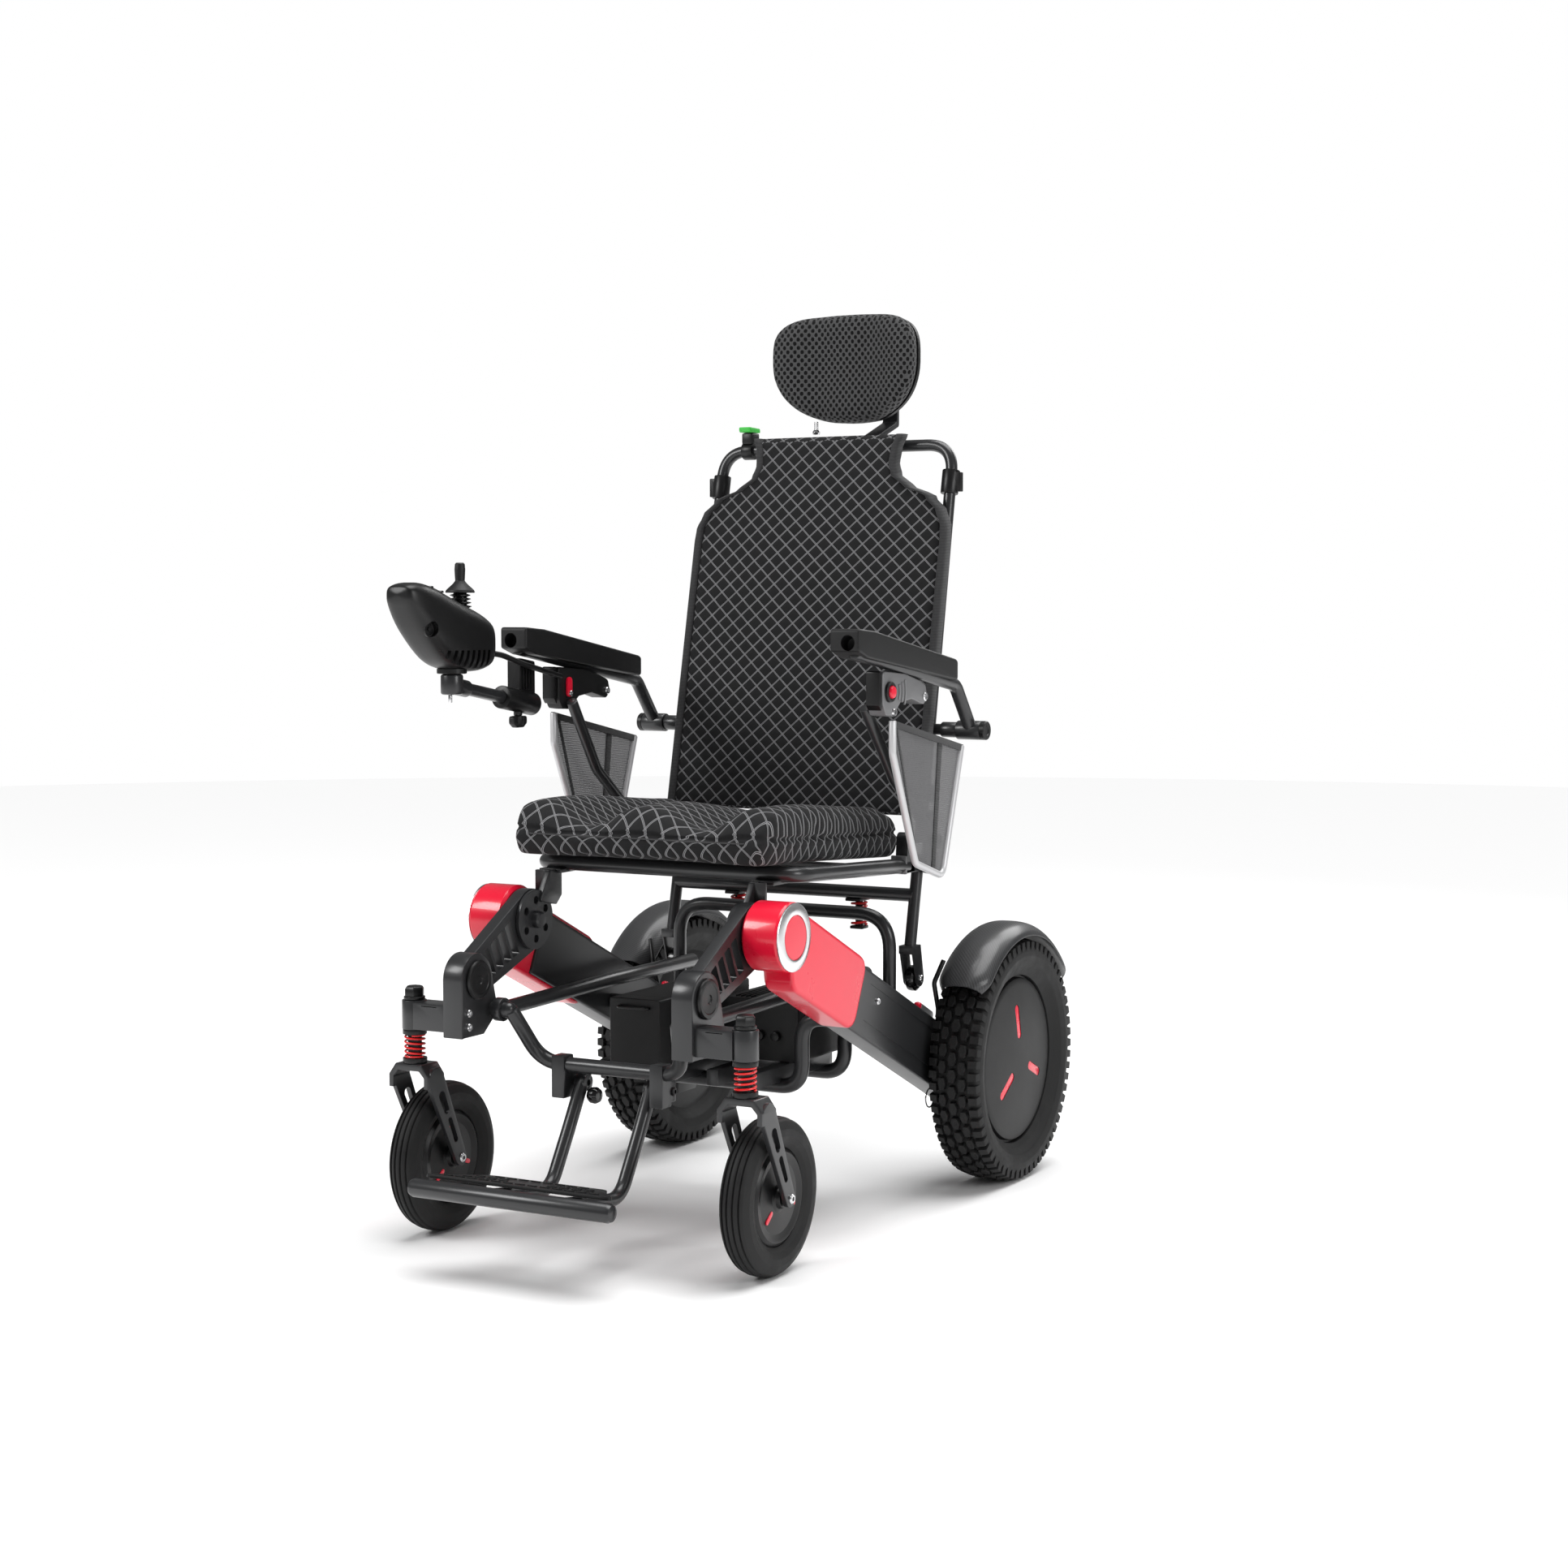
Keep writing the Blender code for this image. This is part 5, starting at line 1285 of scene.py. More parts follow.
def seat_frame():
    front_y, front_z = SEAT_FRONT
    rear_y, rear_z = SEAT_REAR
    x = SEAT_X
    rails = tube(
        [
            (-x, rear_y + 0.010, rear_z), (-x, front_y, front_z), (x, front_y, front_z),
            (x, rear_y + 0.010, rear_z)
        ],
        0.0105,
        0.040,
        28,
        12,
    )
    pieces = [rails]
    for y in (0.330, 0.450):
        z = front_z + (rear_z - front_z) * (y - front_y) / (rear_y - front_y)
        pieces.append(block((-x, y - 0.010, z - 0.004), (x, y + 0.010, z + 0.004)))
    for s in (-1, 1):
        pieces.append(sided_block(s, 0.1860, 0.2045, (rear_y - 0.004, 0.4560), (0.600, 0.4780), 0.0015))
        pieces.append(
            sided_block(s, 0.1880, 0.2085, (rear_y - 0.0050, 0.4575), (rear_y + 0.030, 0.4810), 0.0010)
        )
        lug = hull(arc(POST_PIN, 0.0100, 0, 360, 24) + [(0.536, 0.470), (0.562, 0.470)])
        pieces.append(plate(lug, *span(s, 0.1860, 0.2045), ease=0.0012))
        pieces.append(bar((s * 0.195, *POST_PIN), (s * 0.2480, *POST_PIN), 0.0040, 20))
        pieces.append(bar((s * 0.195, *RECLINE), (s * 0.2160, *RECLINE), 0.0050, 20))
        pieces.append(
            bar(
                (s * BACK_TUBE_X, back_y(0.3400), 0.3400), (s * BACK_TUBE_X, back_y(0.478), 0.478), 0.0085, 28
            )
        )
        pieces.append(sided_block(s, 0.1855, 0.2075, (0.548, 0.3400), (0.575, 0.3520), 0.0015))
        for inner, outer in ((0.1855, 0.1885), (0.2045, 0.2075)):
            ear = hull(arc(TROLLEY, 0.0115, 0, 360, 24) + [(0.548, 0.352), (0.575, 0.352)])
            pieces.append(plate(ear, *span(s, inner, outer), ease=0.0006))
        pieces.append(bar((s * 0.1840, *TROLLEY), (s * 0.2090, *TROLLEY), 0.0035, 16))
        foot = sided_block(s, 0.1470, 0.1820, (0.192, 0.4705), (0.236, 0.4760), 0.001)
        strap = plate(
            filleted(
                [
                    (0.152, 0.436), (0.192, 0.428), (0.205, 0.440), (0.205, 0.4755), (0.176, 0.4755),
                    (0.168, 0.462)
                ],
                0.004, 3, True
            ),
            *span(s, 0.1540, 0.1622),
            ease=0.0008,
        )
        face = sided_block(s, 0.1540, 0.1780, (0.1760, 0.4480), (0.1815, 0.4755), 0.001)
        strap = union(strap, face)
        disc = turned(
            [
                (0, 0.1568), (0.0395, 0.1568), (0.0400, 0.1573), (0.0400, 0.1617), (0.0395, 0.1622),
                (0, 0.1622)
            ],
            (0, *HINGE), steps=56, side=s
        )
        holes = []
        for k in range(6):
            a = math.radians(60 * k + 30)
            hy, hz = HINGE[0] + 0.026 * math.cos(a), HINGE[1] + 0.026 * math.sin(a)
            holes.append(bar((s * 0.150, hy, hz), (s * 0.170, hy, hz), 0.0055, 20))
        boss = turned(
            [
                (0, 0.1460), (0.0085, 0.1465), (0.0110, 0.1490), (0.0115, 0.1520), (0.0115, 0.1572),
                (0, 0.1572)
            ],
            (0, *HINGE), steps=32, side=s
        )
        pieces += [cut(disc, *holes), boss, foot, strap]
    pieces.append(
        bar((-BACK_TUBE_X, back_y(0.4210), 0.4210), (BACK_TUBE_X, back_y(0.4210), 0.4210), 0.0095, 28)
    )
    finished("seat_tubes", union(*pieces), PAINT, "seat", ["seat_frame"])
    caps = []
    for s in (-1, 1):
        caps.append(
            sided_block(s, 0.1865, 0.2100, (rear_y - 0.0090, 0.4565), (rear_y - 0.0045, 0.4820), 0.0010)
        )
    finished("seat_corner_caps", group(*caps), LIGHT_PAINT, "seat")
    for name, s in (("left", 1), ("right", -1)):
        coil = helix((s * 0.100, 0.593), 0.0105, 0.0019, 0.3710, 0.4060, 5.2, s)
        finished(f"{name}_seat_spring", coil, SPRING_RED, "seat")
        holder = union(
            bar((s * 0.100, 0.593, 0.368), (s * 0.100, 0.593, 0.414), 0.0055, 20),
            sided_block(s, 0.088, 0.112, (0.572, 0.4075), (0.604, 0.4120), 0.001),
            sided_block(s, 0.090, 0.110, (0.583, 0.3665), (0.603, 0.3710), 0.001),
        )
        finished(f"{name}_seat_spring_seat", holder, BLACK, "seat")


def swell(t):
    """0 to 1 to 0 smoothly as t goes from -1 through 0 to 1."""
    return math.cos(min(abs(t), 1.0) * math.pi / 2) ** 2


def seat_height(u, v):
    """Top of the cushion over its base; u is -1 to 1 across, v is 0 to 1 from front to back."""
    forward = swell((v - 0.30) / 0.62)
    pommel = 0.0190 * swell(u / 0.40) * forward
    bolster = (0.0150 + 0.0085 * forward) * swell((abs(u) - 0.86) / 0.42)
    hollow = -0.0165 * swell((abs(u) - 0.45) / 0.34) * (0.55 + 0.45 * forward)
    nose = 1 - 0.50 * max(0.0, 1 - v / 0.11) ** 2.2
    tail = 1 - 0.20 * max(0.0, (v - 0.92) / 0.08) ** 2
    return (0.0470 + pommel + bolster + hollow) * nose * tail


def inflated(shape, voxel, pressure, cap):
    """Let the closed form swell as sewn cloth round foam, each point by cap at most."""
    remesh = shape.modifiers.new("remesh", "REMESH")
    remesh.mode = "VOXEL"
    remesh.voxel_size = voxel
    shape = combined("UNION", shape, [])
    rest = [v.co.copy() for v in shape.data.vertices]
    cloth = shape.modifiers.new("cloth", "CLOTH")
    cloth.settings.quality = 5
    cloth.settings.mass = 0.2
    cloth.settings.tension_stiffness = 18
    cloth.settings.compression_stiffness = 12
    cloth.settings.bending_stiffness = 0.6
    cloth.settings.use_pressure = True
    cloth.settings.uniform_pressure_force = pressure
    cloth.settings.effector_weights.gravity = 0
    cloth.point_cache.frame_start = 1
    cloth.point_cache.frame_end = 20
    scene = bpy.context.scene
    for step in range(1, 21):
        scene.frame_set(step)
    shape = combined("UNION", shape, [])
    scene.frame_set(1)
    for vertex, start in zip(shape.data.vertices, rest):
        shift = vertex.co - start
        if shift.length > cap:
            vertex.co = start + shift * (cap / shift.length)
    smooth = shape.modifiers.new("smooth", "SUBSURF")
    smooth.levels = smooth.render_levels = 1
    return combined("UNION", shape, [])


def seat_cushion():
    """Sculpted seat: bolsters at the sides, a pommel between two thigh hollows."""
    count_x, count_y = 84, 64
    front, rear, half = 0.1385, 0.5300, 0.1990
    rings = []
    for j in range(count_y + 1):
        v = j / count_y
        v = 0.4 * v + 0.6 * (0.5 - 0.5 * math.cos(math.pi * v))
        y = front + (rear - front) * v
        width = half * (1.0 - 0.055 * max(0.0, 1 - v / 0.14) ** 2.4)
        base = 0.5000 - 0.0165 * (y - SEAT_FRONT[0]) / (SEAT_REAR[0] - SEAT_FRONT[0])
        close = math.sqrt(max(0.0, 1 - max(0.0, 1 - v / 0.030) ** 2)) * math.sqrt(
            max(0.0, 1 - max(0.0, (v - 0.97) / 0.03) ** 2)
        )
        middle = 0.022
        upper, lower = [], []
        for i in range(count_x + 1):
            u = -1 + 2 * i / count_x
            u = math.sin(u * math.pi / 2) * 0.35 + u * 0.65
            ease = math.sqrt(max(0.0, 1 - max(0.0, (abs(u) - 0.955) / 0.045) ** 2))
            h = middle + (seat_height(u, v) - middle) * max(0.05, close) * max(0.05, ease)
            upper.append((u * width, y, base + h))
            lower.append((u * width, y, base + middle - middle * max(0.05, close) * max(0.05, ease)))
        rings.append(upper + lower[-2:0:-1])
    pad = skinned(rings)
    for vertex in pad.data.vertices:
        p = vertex.co
        if p.z > 0.515:
            ripple = noise.noise(Vector((p.x * 9.0, p.y * 9.0, 4.0))) * 0.0018
            vertex.co.z += ripple + noise.noise(Vector((p.x * 26.0, p.y * 30.0, 9.0))) * 0.0005
    pad = inflated(pad, 0.0050, 4.0, 0.0050)
    # The seam round the top panel: a narrow valley in the cloth.
    for vertex in pad.data.vertices:
        p = vertex.co
        u = p.x / half
        v = (p.y - front) / (rear - front)
        base = 0.5000 - 0.0165 * (p.y - SEAT_FRONT[0]) / (SEAT_REAR[0] - SEAT_FRONT[0])
        seam = base + 0.0255 + 0.30 * max(
            0.0, seat_height(max(-1, min(1, u)), max(0.0, min(1.0, v + 0.10))) - 0.0470
        )
        if v > 0.06 and abs(u) > 0.9:
            seam = base + 0.0300
        off = (p.z - seam) / 0.0042
        if abs(off) < 1.0 and (abs(u) > 0.95 or v < 0.05):
            depth = 0.0040 * (1 - off * off)
            if v < 0.05:
                vertex.co.y += depth
            else:
                vertex.co.x -= math.copysign(depth, p.x)
    finished("seat_pad", pad, SEAT_CLOTH, "seat", ["seat_cushion"], 0)
    line = []
    for k in range(61):
        u = -0.93 + 1.86 * k / 60
        line.append((u * half, front + 0.0030 + 0.0130 * max(0.0, abs(u) - 0.80) / 0.13, 0.5040 + 0.0240))
    welt = tube(line, 0.0009, sides=8, ease=0.0003)
    finished("seat_front_seam", welt, TAPE, "seat", angle=0)


def trolley_wheel(name, side):
    centre = (side * BACK_TUBE_X, *TROLLEY)
    profile = [
        (0.0040, -0.0065), (0.0150, -0.0065), (0.0180, -0.0045), (0.0185, 0), (0.0180, 0.0045),
        (0.0150, 0.0065), (0.0040, 0.0065)
    ]
    wheel = turned(profile, centre, steps=48, side=side)
    finished(
        f"{name}_trolley_roller", wheel, GLOSSY, f"{name}_trolley_wheel", [f"{name}_trolley_wheel"],
    )
    bolt = cap_bolt((side * 0.2075, *TROLLEY), "X", side, 0.0050, 0.003)
    finished(f"{name}_trolley_bolt", bolt, STEEL, "seat")


# ---------------------------------------------------------------- back


def back_frame():
    path = [
        (-BACK_TUBE_X, back_y(0.500), 0.500),
        (-BACK_TOP_X, back_y(BACK_TOP_Z), BACK_TOP_Z),
        (BACK_TOP_X, back_y(BACK_TOP_Z), BACK_TOP_Z),
        (BACK_TUBE_X, back_y(0.500), 0.500),
    ]
    pieces = [tube(path, 0.0085, 0.042, 28, 14)]
    for side in (-1, 1):
        outline = hull(
            arc(RECLINE, 0.0180, 0, 360, 40) + [(back_y(0.54) - 0.008, 0.540), (back_y(0.54) + 0.008, 0.540)]
        )
        side_plate = plate(outline, *span(side, 0.2080, 0.2140), ease=0.001)
        bore = bar((side * 0.190, *RECLINE), (side * 0.230, *RECLINE), 0.0050 + GAP, 20)
        pieces.append(cut(side_plate, bore))
        pieces.append(
            sided_block(side, 0.1980, 0.2130, (back_y(0.520) - 0.006, 0.507), (back_y(0.520) + 0.006, 0.535))
        )
        stub_y, stub_z = ARM_PIVOT
        pieces.append(bar((side * 0.196, stub_y, stub_z), (side * 0.2200, stub_y, stub_z), 0.0080, 28))
        pieces.append(bar((side * 0.218, stub_y, stub_z), (side * 0.2420, stub_y, stub_z), 0.0110, 32))
        pieces.append(bar((side * 0.2400, stub_y, stub_z), (side * 0.2820, stub_y, stub_z), 0.0060, 20))
    for z in (0.600, 0.830):
        pieces.append(bar((-0.194, back_y(z), z), (0.194, back_y(z), z), 0.0070, 24))
    top = back_y(BACK_TOP_Z)
    socket = block((0.0200, top - 0.004, 1.0400), (0.0600, top + 0.0380, 1.0720), 0.003)
    channel = block((0.0280 - GAP, top + 0.0220 - GAP, 1.000), (0.0520 + GAP, top + 0.0300 + GAP, 1.100), 0)
    pieces.append(cut(socket, channel))
    finished("back_tubes", union(*pieces), PAINT, "back", ["back_frame"])
    for name, side in (("left", 1), ("right", -1)):
        z = 1.0087
        clamp = bar(
            (side * BACK_TOP_X, back_y(z - 0.017), z - 0.017),
            (side * BACK_TOP_X, back_y(z + 0.017), z + 0.017), 0.0128, 36
        )
        ear = sided_block(
            side, 0.1985, 0.2090, (back_y(z) - 0.006, z - 0.014), (back_y(z) + 0.006, z + 0.014), 0.0015
        )
        finished(f"{name}_back_clamp", union(clamp, ear), BLACK, "back")
        cap = turned(
            [
                (0, 0.2798), (0.0135, 0.2798), (0.0135, 0.2860), (0.0125, 0.2872), (0.0070, 0.2872),
                (0.0062, 0.2860), (0, 0.2860)
            ],
            (0, *ARM_PIVOT), steps=40, side=side
        )
        finished(f"{name}_arm_pivot_cap", cap, BLACK, "back")
        knob = turned(
            [
                (0, 0.2140), (0.0185, 0.2140), (0.0185, 0.2190), (0.0170, 0.2205), (0.0080, 0.2205),
                (0.0070, 0.2190), (0, 0.2190)
            ],
            (0, *RECLINE), steps=40, side=side
        )
        finished(f"{name}_recline_cap", knob, BLACK, "back")
        knob = turned(
            [
                (0, 0.2005), (0.0105, 0.2005), (0.0125, 0.2050), (0.0125, 0.2130), (0.0100, 0.2170),
                (0, 0.2180)
            ],
            (0, back_y(0.565) - 0.004, 0.565), steps=32, side=side, soft=0.001
        )
        finished(f"{name}_back_knob", knob, GLOSSY, "back")

    # Green lever on its clamp at the right end of the top tube.
    clamp = union(
        bar((-0.157, top, BACK_TOP_Z), (-0.139, top, BACK_TOP_Z), 0.0135, 36),
        block((-0.156, top - 0.012, 1.073), (-0.138, top + 0.012, 1.090), 0.003),
    )
    finished("lever_clamp", clamp, BLACK, "back")
    lever = plate(
        filleted(
            [(top - 0.018, 1.0905), (top + 0.014, 1.0905), (top + 0.012, 1.0975), (top - 0.020, 1.0985)],
            0.003, 4, True
        ),
        -0.1565, -0.1375, ease=0.0015
    )
    finished("green_lever", lever, GREEN, "back")


def panel_width(z):
    """Half width of the back panel at a height."""
    shape = [
        (0.530, 0.209), (0.925, 0.209), (0.945, 0.2075), (0.966, 0.1990), (0.987, 0.1800), (1.0055, 0.1400),
        (1.0200, 0.1212), (1.0380, 0.1155), (1.0600, 0.1175), (1.0795, 0.1240)
    ]
    for (z0, w0), (z1, w1) in zip(shape, shape[1:]):
        if z <= z1:
            t = (z - z0) / (z1 - z0)
            t = t * t * (3 - 2 * t) if z1 > 0.93 else t
            return w0 + (w1 - w0) * t
    return shape[-1][1]


def back_panel():
    """Taut padded panel: rounded edges, a slight hollow, cloth in front and tape round it."""
    levels, across = 90, 40
    low_z, high_z = 0.534, 1.0795
    rings = []
    for j in range(levels + 1):
        t = j / levels
        z = low_z + (high_z - low_z) * t
        w = panel_width(z) - 0.0045
        close = min(1.0, min(t, 1 - t) / 0.018)
        close = math.sqrt(1 - (1 - close) ** 2)
        thick = max(0.0012, 0.0095 * close)
        ring = []
        for i in range(across + 1):
            u = -1 + 2 * i / across
            belly = 0.0030 * (1 - u * u) * math.sin(math.pi * t)
            ease = math.sqrt(max(0.02, 1 - max(0.0, (abs(u) - 0.95) / 0.05) ** 2))
            ring.append((u * w, back_y(z, 0.0250 + thick * ease) - belly + 0.002, z))
        for i in range(across - 1, 0, -1):
            u = -1 + 2 * i / across
            ease = math.sqrt(max(0.02, 1 - max(0.0, (abs(u) - 0.95) / 0.05) ** 2))
            ring.append((u * w, back_y(z, 0.0250 - thick * ease * 0.9), z))
        rings.append(ring)
    panel = skinned(rings)
    for vertex in panel.data.vertices:
        p = vertex.co
        vertex.co.y += noise.noise(Vector((p.x * 7.0, 2.0, p.z * 7.0))) * 0.0016 + noise.noise(
            Vector((p.x * 24.0, 5.0, p.z * 24.0))
        ) * 0.0004
    finished("back_panel", panel, CLOTH, "back", ["back_cushion"], 0)

    # Binding tape along the two sides and over the shoulders.
    for name, side in (("left", 1), ("right", -1)):
        rings = []
        for j in range(levels + 1):
            z = low_z + (high_z - low_z) * j / levels
            w = panel_width(z)
            ring = []
            for k in range(20):
                a = 2 * math.pi * k / 20
                px = 0.0062 * math.copysign(abs(math.cos(a)) ** 0.6, math.cos(a))
                py = 0.0112 * math.copysign(abs(math.sin(a)) ** 0.6, math.sin(a))
                ring.append((side * (w - 0.0055 + px), back_y(z, 0.0250) + py, z))
            rings.append(ring)
        tape = skinned(rings)
        for loop in tape.data.loops:
            p = tape.data.vertices[loop.vertex_index].co
            tape.data.uv_layers[0].data[loop.index].uv = (p.z, p.x)
        finished(f"{name}_back_binding", tape, TAPE, "back", angle=0)
    shell = []
    for j in range(41):
        t = j / 40
        z = 0.560 + (1.000 - 0.560) * t
        w = min(0.188, panel_width(z) - 0.012)
        shell.append(
            [
                (u * w, back_y(z, depth), z)
                for u, depth in ((-1, 0.0155), (1, 0.0155), (1, 0.0125), (-1, 0.0125))
            ]
        )
    finished("back_shell", eased(skinned(shell), 0.0006), MOULDED, "back")


def headrest():
    top = back_y(BACK_TOP_Z)
    near, far = top + 0.0220, top + 0.0300
    tilt_y = HEADREST_TILT[0]
    crank = [
        (near, 0.9700),
        (far, 0.9700),
        (far, 1.0730),
        (tilt_y + 0.004, 1.1000),
        (tilt_y + 0.004, 1.1790),
        (tilt_y - 0.004, 1.1790),
        (tilt_y - 0.004, 1.1060),
        (near, 1.0790),
    ]
    post = plate(filleted(crank, 0.006, 4, True), 0.0280, 0.0520, ease=0.0012)
    pin = bar((0.010, *HEADREST_TILT), (0.070, *HEADREST_TILT), 0.0050, 24)
    finished("headrest_stem", union(post, pin), PAINT, "headrest_post", ["headrest_post"])

    # Pillow: wings curve forward round a hollow middle.
    half_x, low_z, high_z = 0.1175, 1.1005, 1.2650
    outline = []
    for k in range(72):
        a = 2 * math.pi * (k + 0.5) / 72
        c, t = math.cos(a), math.sin(a)
        power = 2 / 3.4 if t > 0 else 2 / 2.25
        rise = (high_z - 1.196) if t > 0 else (1.196 - low_z)
        outline.append(
            (half_x * math.copysign(abs(c) ** power, c), 1.196 + rise * math.copysign(abs(t) ** power, t))
        )
    middle_z = (low_z + high_z) / 2

    def bow(x):
        """Wings forward, with a shallow valley between each wing and the middle."""
        return 0.0050 - 0.0160 * (x / 0.105) ** 2 + 0.0058 * math.exp(-(((abs(x) - 0.043) / 0.017) ** 2))

    rings = []
    for depth, size in (
        (0.7325, 0.06),
        (0.7310, 0.30),
        (0.7295, 0.52),
        (0.7275, 0.72),
        (0.7270, 0.86),
        (0.7305, 0.945),
        (0.7380, 0.990),
        (0.7480, 1.000),
        (0.7570, 0.985),
        (0.7640, 0.940),
        (0.7690, 0.860),
        (0.7710, 0.600),
        (0.7710, 0.300),
        (0.7710, 0.060),
    ):
        ring = []
        for x, z in outline:
            px = x * size
            ring.append((px, depth + bow(px), middle_z + (z - middle_z) * size))
        rings.append(ring)
    pillow = inflated(skinned(rings), 0.0045, 4.0, 0.0022)
    finished("headrest_pillow", pillow, NET, "headrest", ["headrest_cushion"], 0)
    backing = []
    for depth, size in ((0.7700, 0.955), (0.7765, 0.960), (0.7800, 0.930)):
        backing.append(
            [(x * size, depth + bow(x * size), middle_z + (z - middle_z) * size) for x, z in outline]
        )
    finished("headrest_backing", skinned(backing), MOULDED, "headrest", angle=40)
    eyes = []
    for low_x, high_x in ((0.0120, 0.0276), (0.0524, 0.0680)):
        eye = hull(arc(HEADREST_TILT, 0.0110, 0, 360, 32) + [(0.770, 1.152), (0.770, 1.188)])
        eyes.append(plate(eye, low_x, high_x, ease=0.0012))
    bore = bar((0.0, *HEADREST_TILT), (0.080, *HEADREST_TILT), 0.0050 + GAP, 20)
    finished("headrest_eyes", cut(group(*eyes), bore), BLACK, "headrest")
    knob = turned(
        [
            (0, 1.0860), (0.0048, 1.0865), (0.0058, 1.0900), (0.0045, 1.0930), (0.0030, 1.0940),
            (0.0030, 1.1060), (0, 1.1060)
        ],
        (-0.052, 0.745, 0), "Z", 24, soft=0.0006
    )
    finished("headrest_stud", knob, STEEL, "headrest")


# ---------------------------------------------------------------- armrests


def armrest(name, side):
    x = side * ARM_TUBE_X
    pivot_y, pivot_z = ARM_PIVOT
    body = f"{name}_armrest"
    arm = tube([(x, pivot_y, pivot_z), (x, 0.568, 0.7210), (x, 0.262, 0.7715)], 0.0095, 0.030, 28, 12)
    boss = bar((side * 0.2424, pivot_y, pivot_z), (side * 0.2796, pivot_y, pivot_z), 0.0135, 40)
    shape = union(arm, boss)
    bore = bar((side * 0.230, pivot_y, pivot_z), (side * 0.300, pivot_y, pivot_z), 0.0060 + GAP, 24)
    finished(f"{name}_arm_tube", cut(shape, bore), PAINT, body, [f"{name}_armrest_frame"])

    housing_outline = [
        (0.333, 0.745), (0.333, 0.702), (0.343, 0.686), (0.362, 0.684), (0.386, 0.702), (0.420, 0.706),
        (0.457, 0.697), (0.468, 0.706), (0.462, 0.724), (0.440, 0.731), (0.400, 0.740)
    ]
    outline = filleted(housing_outline, 0.007, 6, True)
    housing = plate(outline, side * 0.2430, side * 0.2680, ease=0.0022, segments=3)
    button_bore = bar((side * 0.2600, *BUTTON), (side * 0.2900, *BUTTON), 0.0085 + GAP, 28)
    ribs = []
    for k in range(3):
        reach = 0.030 + 0.009 * k
        path = [
            (side * 0.2684, BUTTON[0] + reach * math.cos(a), BUTTON[1] + reach * math.sin(a))
            for a in (math.radians(-22 + 40 * i / 8) for i in range(9))
        ]
        ribs.append(tube(path, 0.0016, sides=10, ease=0.0005))
    finished(
        f"{name}_latch", cut(union(housing, *ribs), button_bore), LIGHT_PAINT if side > 0 else MOULDED, body,
    )
    ring = turned(
        [
            (0.0090, 0.2670), (0.0138, 0.2670), (0.0138, 0.2715), (0.0126, 0.2728), (0.0100, 0.2728),
            (0.0090, 0.2715)
        ],
        (0, *BUTTON), steps=40, side=side
    )
    finished(f"{name}_latch_ring", ring, BLACK, body)
    nose = plate(
        filleted([(0.326, 0.745), (0.326, 0.700), (0.3335, 0.690), (0.3335, 0.745)], 0.003, 4, True),
        side * 0.2460, side * 0.2660, ease=0.002
    )
    finished(f"{name}_latch_nose", nose, BLACK, body)
    button = turned(
        [(0, 0.2655), (0.0085, 0.2655), (0.0085, 0.2735), (0.0075, 0.2752), (0, 0.2762)], (0, *BUTTON),
        steps=36, side=side
    )
    finished(f"{name}_button", button, RED, f"{name}_release_button", [f"{name}_release_button"])
    lever = plate(
        link_outline((0.3560, 0.7240), 0.0060, (0.3560, 0.7080), 0.0060, 20), side * 0.2425, side * 0.2385,
        ease=0.0010
    )
    finished(f"{name}_latch_lever", lever, RED, body)
    bolts = [
        cap_bolt((side * 0.2680, 0.457, 0.7080), "X", side, 0.0062, 0.0035),
        cap_bolt((side * 0.2430, 0.457, 0.7080), "X", -side, 0.0055, 0.0035),
        cap_bolt((side * 0.2380, 0.3560, 0.7070), "X", -side, 0.0040, 0.0022),
        cap_bolt((side * 0.2650, 0.3650, 0.6900), "X", side, 0.0062, 0.0055),
    ]
    finished(f"{name}_latch_bolts", group(*bolts), STEEL, body)

    outline = [
        (0.243, 0.7720), (0.270, 0.7630), (0.543, 0.7275), (0.543, 0.7540), (0.537, 0.7575), (0.290, 0.7980),
        (0.243, 0.8015)
    ]
    pad = plate(filleted(outline, 0.005, 5, True), side * 0.2360, side * 0.2790, ease=0.0045, segments=4)
    groove = tube([(x, 0.600, 0.7157), (x, 0.262, 0.7715)], 0.0099, sides=28)
    well = bar((x, 0.225, 0.7860), (x, 0.262, 0.7800), 0.0100, 32)
    slot = plate(
        [(0.20, 0.700), (0.60, 0.640), (0.60, 0.7157), (0.262, 0.7715), (0.262, 0.740)],
        side * (ARM_TUBE_X - 0.0099), side * (ARM_TUBE_X + 0.0099), ease=0
    )
    pad = cut(pad, groove, slot, well)
    finished(f"{name}_arm_pad", pad, MOULDED, body, [f"{name}_armrest_pad"], 35)

